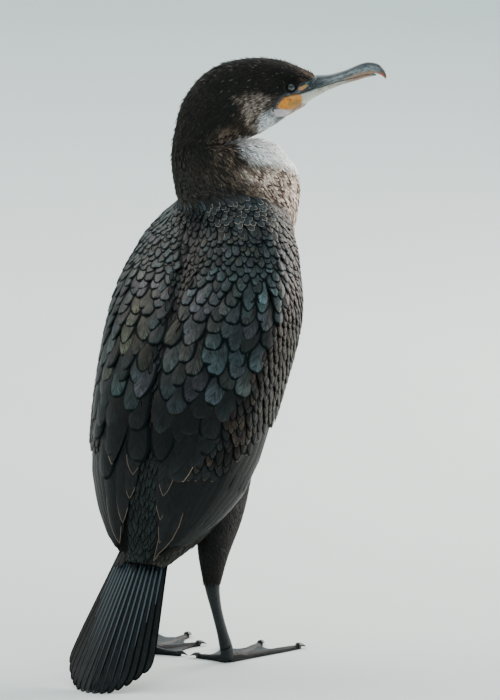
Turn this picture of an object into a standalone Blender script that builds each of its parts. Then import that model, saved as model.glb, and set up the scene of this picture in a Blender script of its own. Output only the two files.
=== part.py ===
"""A young great cormorant, life size, standing upright with its head turned to its right.

Metres, +Z up. The bird's breast faces -Y and its right side is -X.
The origin lies on the floor below the middle of the bird's outline.
"""

import math

import bmesh
import bpy
import numpy as np
from mathutils import Vector
from mathutils.bvhtree import BVHTree

# Places on the bird are given from a point on the floor between its feet, and then moved over the origin.
OVER_ORIGIN = np.array([0.0190, -0.0155, 0.0])
JOINT_GAP = 0.00035
SIDES = {"left": 1.0, "right": -1.0}

# The neck turns about a vertical axis above this place, and the head's yaw is to the bird's right.
NECK_AXIS_Y = -0.085
HEAD_YAW = 63.0

# The body's rings from the tail root to the bill's base: yaw in degrees, then the back's and the belly's line
# as (forward of the neck's axis, height), and the half width.
BODY_RINGS = (
    (0, (-0.197, 0.118), (-0.173, 0.106), 0.020),
    (0, (-0.189, 0.140), (-0.149, 0.116), 0.034),
    (0, (-0.183, 0.170), (-0.113, 0.128), 0.050),
    (0, (-0.177, 0.205), (-0.076, 0.146), 0.063),
    (0, (-0.170, 0.240), (-0.044, 0.176), 0.072),
    (0, (-0.157, 0.280), (-0.017, 0.222), 0.077),
    (0, (-0.135, 0.322), (0.008, 0.275), 0.081),
    (0, (-0.109, 0.362), (0.026, 0.325), 0.083),
    (4, (-0.079, 0.398), (0.039, 0.372), 0.0785),
    (12, (-0.057, 0.428), (0.056, 0.415), 0.0705),
    (22, (-0.050, 0.447), (0.075, 0.445), 0.058),
    (34, (-0.055, 0.462), (0.077, 0.467), 0.047),
    (44, (-0.0565, 0.475), (0.070, 0.483), 0.040),
    (52, (-0.0575, 0.486), (0.0595, 0.496), 0.0345),
    (57, (-0.0576, 0.494), (0.0510, 0.507), 0.0320),
    (60, (-0.0574, 0.501), (0.0410, 0.514), 0.0300),
    (62, (-0.0568, 0.508), (0.0270, 0.5155), 0.0285),
    (63, (-0.0558, 0.516), (0.0105, 0.5120), 0.0270),
    (63, (-0.0530, 0.528), (0.0175, 0.5165), 0.0258),
    (63, (-0.0485, 0.547), (0.0260, 0.5200), 0.0250),
    (63, (-0.0395, 0.5645), (0.0345, 0.5240), 0.0245),
    (63, (-0.0262, 0.5802), (0.0440, 0.5298), 0.0240),
    (63, (-0.0078, 0.5914), (0.0535, 0.5358), 0.0235),
    (63, (0.0120, 0.5965), (0.0615, 0.5408), 0.0225),
    (63, (0.0320, 0.5978), (0.0685, 0.5450), 0.0210),
    (63, (0.0520, 0.5955), (0.0755, 0.5490), 0.0185),
    (63, (0.0715, 0.5885), (0.0825, 0.5555), 0.0150),
    (63, (0.0875, 0.5810), (0.0910, 0.5608), 0.0110),
)
# Where the whole body is parted into named lengths, in ring numbers.
TORSO_END = 10.5
LOWER_NECK_END = 17.0
UPPER_NECK_END = 20.5
HEAD_END = len(BODY_RINGS) - 1.0
PARTS_OF_BODY = (
    ("torso", 0.0, TORSO_END, 22, 30, "dark_plumage"),
    ("neck_lower", TORSO_END, LOWER_NECK_END, 12, 28, "mottled_plumage"),
    ("neck_upper", LOWER_NECK_END, UPPER_NECK_END, 6, 28, "dark_plumage"),
    ("head", UPPER_NECK_END, HEAD_END, 13, 28, "dark_plumage"),
)

# The bill's stations, from its base to its hook: top line, bottom line and half width, in the head's plane.
UPPER_BILL = (
    ((0.0885, 0.5808), (0.0905, 0.5697), 0.0106),
    ((0.1014, 0.5815), (0.1034, 0.5738), 0.0085),
    ((0.1164, 0.5856), (0.1174, 0.5772), 0.0066),
    ((0.1284, 0.5906), (0.1284, 0.5801), 0.0056),
    ((0.1374, 0.5936), (0.1374, 0.5823), 0.0053),
    ((0.1454, 0.5935), (0.1449, 0.5833), 0.0055),
    ((0.1516, 0.5913), (0.1489, 0.5828), 0.0049),
    ((0.1560, 0.5868), (0.1516, 0.5818), 0.0036),
    ((0.1583, 0.5817), (0.1545, 0.5802), 0.0021),
    ((0.1586, 0.5772), (0.1573, 0.5772), 0.0008),
)
LOWER_BILL = (
    ((0.0905, 0.5690), (0.0915, 0.5611), 0.0098),
    ((0.1034, 0.5731), (0.0990, 0.5650), 0.0078),
    ((0.1174, 0.5765), (0.1134, 0.5708), 0.0062),
    ((0.1284, 0.5794), (0.1284, 0.5753), 0.0052),
    ((0.1374, 0.5816), (0.1394, 0.5786), 0.0045),
    ((0.1440, 0.5824), (0.1450, 0.5797), 0.0034),
    ((0.1482, 0.5816), (0.1486, 0.5806), 0.0016),
)
MOUTH_LINE = ((0.0464, 0.5480), (0.0584, 0.5572), (0.0714, 0.5635), (0.0900, 0.5693))
MOUTH_LINE_RADIUS = 0.00055
EYE_PLACE = (0.0624, 0.5708)
EYE_RADIUS = 0.0050
EYE_DEPTH = 0.0034
LID_RADIUS = 0.0011

# The folded wing lies on the torso from the shoulder down to its tip.
WING_TOP_Z = 0.446
WING_TIP_Z = 0.120
WING_STATIONS = (0.0, 0.12, 0.25, 0.40, 0.60, 0.80, 0.90, 0.96, 1.0)
WING_INNER_DEG = (22, 11, 5.5, 4.5, 5.5, 9, 14, 22, 34)
WING_OUTER_DEG = (100, 116, 121, 120, 116, 111, 101, 86, 58)
WING_THICKNESS = (0.006, 0.0135, 0.018, 0.0195, 0.0195, 0.0185, 0.015, 0.012, 0.009)
WING_ACROSS = (0.0, 0.12, 0.30, 0.55, 0.78, 0.92, 1.0)
WING_PROFILE = (0.25, 0.42, 0.72, 1.0, 0.80, 0.40, 0.15)

# The wing's tiers of feathers, from the lowest to the topmost. Each is a name, how many feathers, the first and the
# last across, where they spring, where the innermost and the outermost end, half a width, and how proud they stand.
WING_TIERS = (
    ("primaries", 5, (0.12, 0.92), 0.55, (0.955, 0.990), 0.0130, 0.0012),
    ("secondaries", 6, (0.08, 0.94), 0.46, (0.880, 0.700), 0.0140, 0.0016),
    ("tertials", 5, (0.08, 0.94), 0.40, (0.760, 0.600), 0.0150, 0.0018),
    ("greater_coverts", 5, (0.09, 0.93), 0.29, (0.630, 0.500), 0.0155, 0.0020),
    ("long_scapulars", 5, (0.08, 0.91), 0.20, (0.500, 0.390), 0.0155, 0.0020),
    ("middle_coverts", 5, (0.09, 0.91), 0.10, (0.370, 0.280), 0.0150, 0.0020),
    ("short_scapulars", 5, (0.09, 0.90), 0.02, (0.230, 0.180), 0.0140, 0.0018),
)
# A feather's half width along it, from its root to its tip, as shares of its greatest half width.
FLIGHT_SHAPE = ((0.0, 0.70), (0.45, 1.0), (0.88, 0.86), (1.0, 0.30))
COVERT_SHAPE = ((0.0, 0.60), (0.50, 1.0), (0.86, 0.86), (1.0, 0.32))
FEATHER_SINK = 0.0014

# The tail, a fan of stiff feathers that slopes down to the floor.
TAIL_ROOT = np.array([0.006, 0.0940, 0.1280])
TAIL_TIP = np.array([0.012, 0.190, -0.001])
TAIL_FEATHERS = 14
TAIL_FAN_DEG = 8.0
TAIL_ROOT_HALF = 0.023
TAIL_FEATHER_HALF = 0.0078
TAIL_THICKNESS = 0.0016
TAIL_ARCH = 0.008
TAIL_OUTER_SHARE = 0.79

# The legs, with the toes spread on the floor. Angles are outwards from straight ahead.
THIGH = (
    ((0.036, -0.006, 0.200), 0.026, 0.036),
    ((0.040, 0.014, 0.158), 0.022, 0.031),
    ((0.0425, 0.031, 0.120), 0.0145, 0.0195),
    ((0.0435, 0.0365, 0.092), 0.0088, 0.0110),
)
SHANK = (
    ((0.0435, 0.0370, 0.0900), 0.0085, 0.0098),
    ((0.0436, 0.0350, 0.0780), 0.0066, 0.0084),
    ((0.0440, 0.0270, 0.0560), 0.0049, 0.0066),
    ((0.0444, 0.0160, 0.0320), 0.0050, 0.0068),
    ((0.0446, 0.0095, 0.0180), 0.0062, 0.0078),
)
TOES = (
    ("outer", 24.0, 0.094, 0.0052),
    ("middle", -2.0, 0.080, 0.0050),
    ("inner", -32.0, 0.060, 0.0046),
    ("hind", -88.0, 0.036, 0.0042),
)
FOOT_PLACE = (0.0448, 0.0050, 0.0)
TOE_HEIGHT = 0.0075
WEB_THICKNESS = 0.0022
CLAW_LENGTH = 0.011


def heading(yaw):
    """Level unit vectors ahead and to the right, for a yaw in degrees to the bird's right."""
    angle = np.radians(yaw)
    nothing = np.zeros_like(angle, float)
    ahead = np.stack([-np.sin(angle), -np.cos(angle), nothing], -1)
    rightward = np.stack([-np.cos(angle), np.sin(angle), nothing], -1)
    return ahead, rightward


def in_plane(yaw, place):
    """The point at (forward, height) in the upright plane of that yaw through the neck's axis."""
    ahead, _ = heading(yaw)
    return np.array([0.0, NECK_AXIS_Y, place[1]]) + ahead * place[0]


def ring_table():
    """Each ring as one row: its back point, its belly point, its yaw and its half width."""
    return np.array(
        [[*in_plane(yaw, back), *in_plane(yaw, belly), yaw, half] for yaw, back, belly, half in BODY_RINGS]
    )


RINGS = ring_table()


def smooth_rows(rows, t):
    """Catmull-Rom through the rows, at the row numbers t."""
    t = np.clip(np.atleast_1d(np.asarray(t, float)), 0, len(rows) - 1)
    i = np.minimum(t.astype(int), len(rows) - 2)
    u = (t - i)[:, None]
    ends = np.vstack([2 * rows[0] - rows[1], rows, 2 * rows[-1] - rows[-2]])
    a, b, c, d = ends[i], ends[i + 1], ends[i + 2], ends[i + 3]
    return 0.5 * (2 * b + (c - a) * u + (2 * a - 5 * b + 4 * c - d) * u**2 + (3 * b - a - 3 * c + d) * u**3)


def body_point(t, theta):
    """Points of the body's surface at ring numbers t. theta is 0 on the back and grows rightwards."""
    t, theta = np.broadcast_arrays(np.asarray(t, float), np.asarray(theta, float))
    rows = smooth_rows(RINGS, t.ravel())
    _, rightward = heading(rows[:, 6])
    middle = (rows[:, 0:3] + rows[:, 3:6]) / 2
    half = (rows[:, 0:3] - rows[:, 3:6]) / 2
    angle = theta.ravel()[:, None]
    points = middle + half * np.cos(angle) + rightward * rows[:, 7:8] * np.sin(angle)
    return points.reshape(*t.shape, 3)


def body_normal(t, theta):
    """Unit normals of the body's surface, facing out."""
    step = 1e-3
    along = body_point(np.asarray(t) + step, theta) - body_point(np.asarray(t) - step, theta)
    around = body_point(t, np.asarray(theta) + step) - body_point(t, np.asarray(theta) - step)
    normal = np.cross(around, along)
    return normal / np.linalg.norm(normal, axis=-1, keepdims=True)


def material(name, colour, roughness, metallic=0.0):
    made = bpy.data.materials.new(name)
    made.use_nodes = True
    shader = made.node_tree.nodes["Principled BSDF"]
    shader.inputs["Base Color"].default_value = (*colour, 1.0)
    shader.inputs["Roughness"].default_value = roughness
    shader.inputs["Metallic"].default_value = metallic
    return made


def add_object(name, points, faces, finish=None):
    """A mesh object from points on the bird and its faces, turned so that they face out."""
    mesh = bpy.data.meshes.new(name)
    mesh.from_pydata((np.asarray(points) + OVER_ORIGIN).tolist(), [], faces)
    mesh.validate()
    work = bmesh.new()
    work.from_mesh(mesh)
    bmesh.ops.triangulate(work, faces=work.faces, quad_method="FIXED")
    if work.calc_volume(signed=True) < 0:
        bmesh.ops.reverse_faces(work, faces=work.faces)
    work.to_mesh(mesh)
    work.free()
    made = bpy.data.objects.new(name, mesh)
    bpy.context.scene.collection.objects.link(made)
    if finish:
        mesh.materials.append(bpy.data.materials[finish])
    return made


def loft_faces(sections, around):
    """The faces of a closed loft of that many sections, each of that many points, with flat ends."""
    faces = []
    for i in range(sections - 1):
        for j in range(around):
            k = (j + 1) % around
            a, b = i * around, (i + 1) * around
            faces.append((a + j, a + k, b + k))
            faces.append((a + j, b + k, b + j))
    last = (sections - 1) * around
    for j in range(1, around - 1):
        faces.append((0, j + 1, j))
        faces.append((last, last + j, last + j + 1))
    return faces


def loft(name, sections, finish=None):
    sections = np.asarray(sections)
    return add_object(name, sections.reshape(-1, 3), loft_faces(*sections.shape[:2]), finish)


def ring_normal(t):
    """The unit normal of a ring's plane, towards the head."""
    ring = body_point(t, np.radians([0.0, 90.0, 180.0]))
    normal = np.cross(ring[1] - ring[0], ring[2] - ring[0])
    ahead = body_point(t + 0.05, 0.0) - body_point(t - 0.05, 0.0)
    return normal / np.linalg.norm(normal) * np.sign(normal @ ahead)


def body_length(name, start, end, sections, around, finish):
    """One named length of the body. It starts a joint's gap past the end of the length before it."""
    t = np.linspace(start, end, sections)[:, None]
    theta = np.linspace(0, 2 * np.pi, around, endpoint=False)[None, :]
    points = body_point(t, theta)
    if start > 0:
        points[0] += ring_normal(start) * JOINT_GAP
    return loft(name, points, finish)


def applied(made):
    """Applies an object's modifiers."""
    graph = bpy.context.evaluated_depsgraph_get()
    mesh = bpy.data.meshes.new_from_object(made.evaluated_get(graph))
    made.modifiers.clear()
    made.data = mesh
    return made


def keep_largest(made):
    """Keeps only the largest closed surface of an object."""
    work = bmesh.new()
    work.from_mesh(made.data)
    unseen = set(work.faces)
    shells = []
    while unseen:
        shell, edge = set(), [unseen.pop()]
        while edge:
            face = edge.pop()
            shell.add(face)
            near = {f for e in face.edges for f in e.link_faces} & unseen
            unseen -= near
            edge.extend(near)
        shells.append(shell)
    if len(shells) > 1:
        def volume(shell):
            return abs(sum(f.calc_area() * f.normal.dot(f.verts[0].co) for f in shell))
        shells.sort(key=volume)
        for shell in shells[:-1]:
            bmesh.ops.delete(work, geom=list(shell), context="FACES")
    work.to_mesh(made.data)
    work.free()
    return made


def combine(base, others, operation, solver="MANIFOLD"):
    """One Boolean of an object with a collection of others, applied, with the others then removed."""
    group = bpy.data.collections.new("operands")
    bpy.context.scene.collection.children.link(group)
    for other in others:
        bpy.context.scene.collection.objects.unlink(other)
        group.objects.link(other)
    boolean = base.modifiers.new("boolean", "BOOLEAN")
    boolean.operation = operation
    boolean.operand_type = "COLLECTION"
    boolean.collection = group
    boolean.solver = solver
    applied(base)
    for other in others:
        bpy.data.objects.remove(other)
    bpy.data.collections.remove(group)
    return keep_largest(base)


def swollen_torso():
    """The torso, with the same faces, moved out by the joint's gap as a cutter for what lies on it."""
    _, start, end, sections, around, _ = PARTS_OF_BODY[0]
    t = np.linspace(start, end, sections)[:, None]
    theta = np.linspace(0, 2 * np.pi, around, endpoint=False)[None, :]
    t, theta = np.broadcast_arrays(t, theta)
    points = body_point(t, theta) + body_normal(t, theta) * JOINT_GAP
    points[0] -= ring_normal(start) * JOINT_GAP
    points[-1] += ring_normal(end) * JOINT_GAP
    return loft("swollen_torso", points)


def head_side(place, side, head_tree):
    """The point of the head's surface beside a place in its plane, and the way out of it."""
    _, rightward = heading(HEAD_YAW)
    outwards = rightward * -SIDES[side]
    inside = in_plane(HEAD_YAW, place) + OVER_ORIGIN
    hit, *_ = head_tree.ray_cast(Vector(inside + outwards * 0.1), Vector(-outwards))
    return np.array(hit) - OVER_ORIGIN, outwards


def tube(name, centres, radius, around=6):
    """A closed round tube along a run of points that lies near one plane."""
    centres = np.asarray(centres, float)
    ways = np.gradient(centres, axis=0)
    sections = []
    for centre, way in zip(centres, ways):
        way = way / np.linalg.norm(way)
        across = np.cross(way, (0.3, 0.2, 1.0))
        across /= np.linalg.norm(across)
        upward = np.cross(way, across)
        angles = np.linspace(0, 2 * np.pi, around, endpoint=False)[:, None]
        sections.append(centre + radius * (across * np.cos(angles) + upward * np.sin(angles)))
    return loft(name, sections)


def ball(name, centre, radius, rings=10, around=16, finish=None):
    made = bmesh.new()
    bmesh.ops.create_uvsphere(made, u_segments=around, v_segments=rings, radius=radius)
    points = np.array([v.co for v in made.verts]) + centre
    faces = [[v.index for v in f.verts] for f in made.faces]
    made.free()
    return add_object(name, points, faces, finish)


def finish_head(head):
    """Opens the eye sockets, draws the line of the mouth back to its corners and adds the lids and eyes."""
    head_tree = BVHTree.FromObject(head, bpy.context.evaluated_depsgraph_get())
    lids, cutters = [], []
    for side in SIDES:
        rim, outwards = head_side(EYE_PLACE, side, head_tree)
        centre = rim - outwards * EYE_DEPTH
        ahead, _ = heading(HEAD_YAW)
        turn = np.linspace(0, 2 * np.pi, 16, endpoint=False)
        circle = [
            rim + EYE_RADIUS * 0.98 * (ahead * math.cos(a) + np.array([0, 0, 1.0]) * math.sin(a)) for a in turn
        ]
        sections = []
        for a, at in zip(turn, circle):
            out = ahead * math.cos(a) + np.array([0, 0, 1.0]) * math.sin(a)
            angles = np.linspace(0, 2 * np.pi, 6, endpoint=False)[:, None]
            seat = at - outwards * 0.0004
            sections.append(seat + LID_RADIUS * (out * np.cos(angles) + outwards * np.sin(angles)))
        lids.append(closed_ring(f"lid_{side}", sections))
        cutters.append(ball(f"socket_{side}", centre, EYE_RADIUS + JOINT_GAP, 10, 16))
        ball(f"eye_{side}", centre, EYE_RADIUS, 8, 14, "eye")
        mouth = smooth_rows(np.array(MOUTH_LINE), np.linspace(0, len(MOUTH_LINE) - 1, 9))
        on_skin = [head_side(place, side, head_tree)[0] for place in mouth[:-1]]
        cutters.append(tube(f"mouth_{side}", on_skin, MOUTH_LINE_RADIUS, 5))
    combine(head, lids, "UNION")
    combine(head, cutters, "DIFFERENCE")


def closed_ring(name, sections):
    """A ring-shaped solid from sections that run once round it."""
    sections = np.asarray(sections)
    count, around = sections.shape[:2]
    faces = []
    for i in range(count):
        for j in range(around):
            k, nxt = (j + 1) % around, (i + 1) % count
            faces.append((i * around + j, i * around + k, nxt * around + k))
            faces.append((i * around + j, nxt * around + k, nxt * around + j))
    return add_object(name, sections.reshape(-1, 3), faces)


def bill_half(name, stations, flat_below, finish):
    """One half of the bill, with a flat biting face. The sides of the upper half carry a shallow groove."""
    rows = np.array([[*top, *bottom, half] for top, bottom, half in stations])
    ahead, rightward = heading(HEAD_YAW)
    arch = np.radians(np.linspace(0, 180, 11))
    height = np.sin(arch) ** 0.8
    if flat_below:
        height = height * (1 - 0.10 * np.exp(-(((height - 0.62) / 0.12) ** 2)))
    sections = []
    for row in rows:
        top, bottom = np.array(in_plane(HEAD_YAW, row[0:2])), np.array(in_plane(HEAD_YAW, row[2:4]))
        flat, crown = (bottom, top) if flat_below else (top, bottom)
        ring = [flat + (crown - flat) * h + rightward * row[4] * math.cos(a) for a, h in zip(arch, height)]
        sections.append(ring)
    return loft(name, sections, finish)


def wing_place(u, v):
    """Ring number and angle from the back's middle under a place on the wing.

    u runs across it from the inner edge, and v down it from the top.
    """
    u, v = np.broadcast_arrays(np.asarray(u, float), np.asarray(v, float))
    ring_heights = (RINGS[:11, 2] + RINGS[:11, 5]) / 2
    t = np.interp(WING_TOP_Z + (WING_TIP_Z - WING_TOP_Z) * v, ring_heights, np.arange(11.0))
    inner = np.radians(np.interp(v, WING_STATIONS, WING_INNER_DEG))
    outer = np.radians(np.interp(v, WING_STATIONS, WING_OUTER_DEG))
    return t, inner + (outer - inner) * u


def wing_point(side, u, v, lift=0.0):
    """A point over the torso on the wing's outer face, or lift above it."""
    t, theta = wing_place(u, v)
    theta = theta * -SIDES[side]
    height = np.interp(v, WING_STATIONS, WING_THICKNESS) * np.interp(u, WING_ACROSS, WING_PROFILE)
    return body_point(t, theta) + body_normal(t, theta) * (height + lift)[..., None]


def wing_core(side):
    """The wing's body, from inside the torso's surface out to just under its feathers."""
    across, along = 7, 12
    u, v = np.meshgrid(np.linspace(0, 1, across), np.linspace(0, 1, along), indexing="ij")
    outer = wing_point(side, u, v, 0.0)
    t, theta = wing_place(u[[0, -1]], v[[0, -1]])
    theta = theta * -SIDES[side]
    inner = body_point(t, theta) - body_normal(t, theta) * 0.006
    sections = [np.concatenate([outer[:, k], inner[::-1, k]]) for k in range(along)]
    return loft(f"wing_{side}", sections, "dark_plumage")


def wing_feather(side, u, root, tip, half_width, proud, shape):
    """One feather as a thin vane on the wing: sunk in at its root and standing proud at its tip."""
    sections = []
    step = 1e-3
    for f, share in shape:
        v = root + (tip - root) * f
        centre = wing_point(side, u, v)
        width_of_u = np.linalg.norm(wing_point(side, u + step, v) - centre) / step
        spread = half_width * share / max(width_of_u, 0.030)
        rise = proud * (0.15 + 0.85 * f)
        ring = [wing_point(side, u + x * spread, v, rise * (1 - 0.45 * abs(x))) for x in (-1, 0, 1)]
        ring += [wing_point(side, u + x * spread, v, -FEATHER_SINK) for x in (1, -1)]
        sections.append(ring)
    return loft("feather", sections)


def make_wing(side):
    """The folded wing: its body with tiers of overlapping feathers, cut clear of the torso."""
    wing = wing_core(side)
    feathers = []
    for name, count, (first, last), root, (inner_tip, outer_tip), half_width, proud in WING_TIERS:
        shape = FLIGHT_SHAPE if proud < 0.0017 and root > 0.4 else COVERT_SHAPE
        for i in range(count):
            share = i / (count - 1)
            u = first + (last - first) * share
            tip = inner_tip + (outer_tip - inner_tip) * share + (0.006 if i % 2 else -0.006)
            lift = proud + 0.0003 * (i % 2)
            feathers.append(wing_feather(side, u, root, tip, half_width, lift, shape))
    combine(wing, feathers, "UNION")
    other_side = box("other_side", (SIDES[side] * (JOINT_GAP / 2 - 0.2), 0.0, 0.3), (0.2, 0.3, 0.3))
    return combine(wing, [swollen_torso(), other_side], "DIFFERENCE")


def tail_feather(i):
    """One stiff tail feather, from its root under the wing tips to its rounded tip."""
    share = i / (TAIL_FEATHERS - 1) * 2 - 1
    way = TAIL_TIP - TAIL_ROOT
    length = np.linalg.norm(way) * (1 - (1 - TAIL_OUTER_SHARE) * share * share)
    way = way / np.linalg.norm(way)
    across = np.array([1.0, 0.0, 0.0])
    upward = np.cross(across, way)
    upward *= np.sign(upward[2])
    angle = math.radians(TAIL_FAN_DEG) * share
    ahead = way * math.cos(angle) + across * math.sin(angle)
    beside = across * math.cos(angle) - way * math.sin(angle)
    root = TAIL_ROOT + across * TAIL_ROOT_HALF * share
    sections = []
    for f, wide in ((-0.06, 0.55), (0.25, 0.70), (0.60, 0.92), (0.85, 1.0), (0.96, 0.72), (1.0, 0.25)):
        drop = TAIL_ARCH * (share * share) * min(f + 0.1, 1.0) + 0.0011 * abs(i - (TAIL_FEATHERS - 1) / 2)
        centre = root + ahead * length * f - upward * drop
        half = TAIL_FEATHER_HALF * wide
        thick = TAIL_THICKNESS
        tilt = -0.16 * np.sign(share)
        ring = []
        for x, y in ((-1, 0.2), (0, 0.5), (1, 0.2), (1, -0.35), (-1, -0.35)):
            ring.append(centre + beside * half * x + upward * (thick * y + half * x * tilt))
        sections.append(ring)
    return loft("tail_feather", sections)


def make_tail():
    """The tail: stiff feathers in a fan, bound at their roots by the coverts above and below."""
    way = (TAIL_TIP - TAIL_ROOT) / np.linalg.norm(TAIL_TIP - TAIL_ROOT)
    across = np.array([1.0, 0.0, 0.0])
    upward = np.cross(across, way)
    upward *= np.sign(upward[2])
    sections = []
    for f, half, thick in ((-0.020, 0.017, 0.010), (0.0, 0.023, 0.009), (0.020, 0.026, 0.007), (0.040, 0.026, 0.004),
                           (0.050, 0.022, 0.0015)):
        centre = TAIL_ROOT + way * f - upward * 0.005
        angles = np.linspace(0, 2 * np.pi, 14, endpoint=False)[:, None]
        sections.append(centre + across * half * np.cos(angles) + upward * thick * np.sin(angles))
    tail = loft("tail", sections, "dark_plumage")
    combine(tail, [tail_feather(i) for i in range(TAIL_FEATHERS)], "UNION")
    floor = box("floor", (0.0, 0.19, -0.05), (0.2, 0.2, 0.05))
    return combine(tail, [swollen_torso(), floor], "DIFFERENCE")


def box(name, centre, half):
    """A box, from its middle and its half sizes."""
    corners = [
        (centre[0] + x * half[0], centre[1] + y * half[1], centre[2] + z * half[2])
        for x in (-1, 1) for y in (-1, 1) for z in (-1, 1)
    ]
    faces = [(0, 1, 3, 2), (4, 6, 7, 5), (0, 4, 5, 1), (2, 3, 7, 6), (0, 2, 6, 4), (1, 5, 7, 3)]
    return add_object(name, corners, faces)


def limb_sections(stations, side, around):
    """The ovals of a leg's length: each station is a place, a half width across and one fore and aft."""
    rows = np.array([[place[0] * SIDES[side], place[1], place[2], wide, deep] for place, wide, deep in stations])
    rows = smooth_rows(rows, np.linspace(0, len(rows) - 1, 2 * (len(rows) - 1) + 1))
    ways = np.gradient(rows[:, :3], axis=0)
    angles = np.linspace(0, 2 * np.pi, around, endpoint=False)[:, None]
    sections = []
    for row, way in zip(rows, ways):
        way = way / np.linalg.norm(way)
        fore = np.cross(way, (1.0, 0.0, 0.0))
        fore /= np.linalg.norm(fore)
        across = np.cross(fore, way)
        sections.append(row[:3] + across * row[3] * np.cos(angles) + fore * row[4] * np.sin(angles))
    return np.array(sections)


def past_end(section, before):
    """The way on from a limb's last section, square to it."""
    normal = np.cross(section[len(section) // 4] - section[0], section[len(section) // 2] - section[0])
    normal /= np.linalg.norm(normal)
    return normal * np.sign(normal @ (section.mean(0) - before.mean(0)))


def make_foot(side):
    """The webbed foot: four toes with a web between them, claws, and a stub that meets the shank."""
    sign = SIDES[side]
    joint = np.array([FOOT_PLACE[0] * sign, FOOT_PLACE[1], FOOT_PLACE[2]])
    pieces, tips = [], []
    for name, outward, length, radius in TOES:
        angle = math.radians(outward)
        way = np.array([math.sin(angle) * sign, -math.cos(angle), 0.0])
        across = np.array([-way[1], way[0], 0.0])
        sections = []
        for f in np.linspace(0, 1, 5):
            wide = radius * np.interp(f, (0, 0.5, 0.9, 1), (1.15, 0.9, 0.8, 0.55))
            tall = TOE_HEIGHT * np.interp(f, (0, 0.2, 0.6, 1), (1.5, 1.0, 0.8, 0.55))
            knuckle = 1 + 0.10 * math.cos(f * 6 * math.pi)
            arch = np.radians(np.linspace(0, 180, 6))
            ring = []
            for a in arch:
                height = tall * knuckle * math.sin(a) - 0.001 * (a in (arch[0], arch[-1]))
                ring.append(joint + way * length * f + across * wide * math.cos(a) + np.array([0, 0, height]))
            sections.append(ring)
        pieces.append(loft(f"toe_{name}", sections))
        end = joint + way * length
        tips.append(end)
        claw = []
        for f in np.linspace(0, 1, 4):
            size = radius * 0.55 * (1 - 0.85 * f)
            height = 0.0030 + 0.0012 * math.sin(f * 3.1) - 0.0016 * f
            centre = end + way * (CLAW_LENGTH * f - 0.003) + np.array([0, 0, height])
            angles = np.linspace(0, 2 * np.pi, 5, endpoint=False)[:, None]
            claw.append(centre + size * (across * np.cos(angles) + np.array([0, 0, 1.0]) * np.sin(angles)))
        pieces.append(loft(f"claw_{name}", claw))
    rim = []
    for here, there in zip(tips, tips[1:]):
        for f in np.linspace(0.0, 1, 5)[:-1]:
            pull = 1 - 0.20 * math.sin(math.pi * f)
            rim.append(joint + (here * (1 - f) + there * f - joint) * pull * 0.97)
    rim.append(joint + (tips[-1] - joint) * 0.97)
    heel = joint + np.array([0.0, 0.007, 0.0])
    outline = np.array([heel, *rim])
    lower, upper = outline.copy(), outline.copy()
    lower[:, 2], upper[:, 2] = -0.001, WEB_THICKNESS
    pieces.append(loft("web", [lower, upper]))
    shank = limb_sections(SHANK, side, 14)
    last, way = shank[-1], past_end(shank[-1], shank[-2])
    sole = joint + (last - last.mean(0)) * 0.9 + np.array([0, 0, 0.004])
    stub = [last + way * JOINT_GAP, last + way * 0.006, sole]
    base = loft(f"foot_{side}", stub, "foot_skin")
    combine(base, pieces, "UNION")
    floor = box("floor", (0.0, 0.0, -0.05), (0.3, 0.3, 0.05))
    return combine(base, [floor], "DIFFERENCE")


def make_leg(side):
    upper = limb_sections(THIGH, side, 14)
    thigh = loft(f"thigh_{side}", upper, "dark_plumage")
    combine(thigh, [swollen_torso()], "DIFFERENCE")
    lower = limb_sections(SHANK, side, 14)
    lower[0] = upper[-1] + past_end(upper[-1], upper[-2]) * JOINT_GAP
    loft(f"shank_{side}", lower, "foot_skin")
    make_foot(side)


def main():
    for old in list(bpy.data.objects):
        bpy.data.objects.remove(old)
    material("dark_plumage", (0.035, 0.033, 0.032), 0.55)
    material("mottled_plumage", (0.42, 0.34, 0.28), 0.8)
    material("horn", (0.36, 0.37, 0.38), 0.4)
    material("eye", (0.02, 0.16, 0.14), 0.1)
    material("foot_skin", (0.035, 0.04, 0.042), 0.5)
    for name, start, end, sections, around, finish in PARTS_OF_BODY:
        body_length(name, start, end, sections, around, finish)
    finish_head(bpy.data.objects["head"])
    bill_half("bill_upper", UPPER_BILL, True, "horn")
    bill_half("bill_lower", LOWER_BILL, False, "horn")
    for side in SIDES:
        make_wing(side)
        make_leg(side)
    make_tail()


main()
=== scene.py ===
import math

import bpy
import numpy as np
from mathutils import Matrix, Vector


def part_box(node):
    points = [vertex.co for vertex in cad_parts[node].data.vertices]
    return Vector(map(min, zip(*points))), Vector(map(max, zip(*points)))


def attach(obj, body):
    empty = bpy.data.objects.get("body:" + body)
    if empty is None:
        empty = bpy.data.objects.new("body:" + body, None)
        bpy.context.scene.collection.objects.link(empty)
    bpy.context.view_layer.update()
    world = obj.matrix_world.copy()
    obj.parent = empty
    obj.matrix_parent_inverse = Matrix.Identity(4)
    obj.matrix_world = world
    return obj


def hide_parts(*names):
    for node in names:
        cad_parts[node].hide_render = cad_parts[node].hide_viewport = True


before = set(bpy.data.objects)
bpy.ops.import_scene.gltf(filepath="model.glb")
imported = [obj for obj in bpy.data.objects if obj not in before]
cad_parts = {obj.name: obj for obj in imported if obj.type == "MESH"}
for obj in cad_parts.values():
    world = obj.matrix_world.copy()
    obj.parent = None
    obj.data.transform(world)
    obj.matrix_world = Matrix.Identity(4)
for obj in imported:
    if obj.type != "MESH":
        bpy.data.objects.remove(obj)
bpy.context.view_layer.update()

RANDOM = np.random.default_rng(11)

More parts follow.
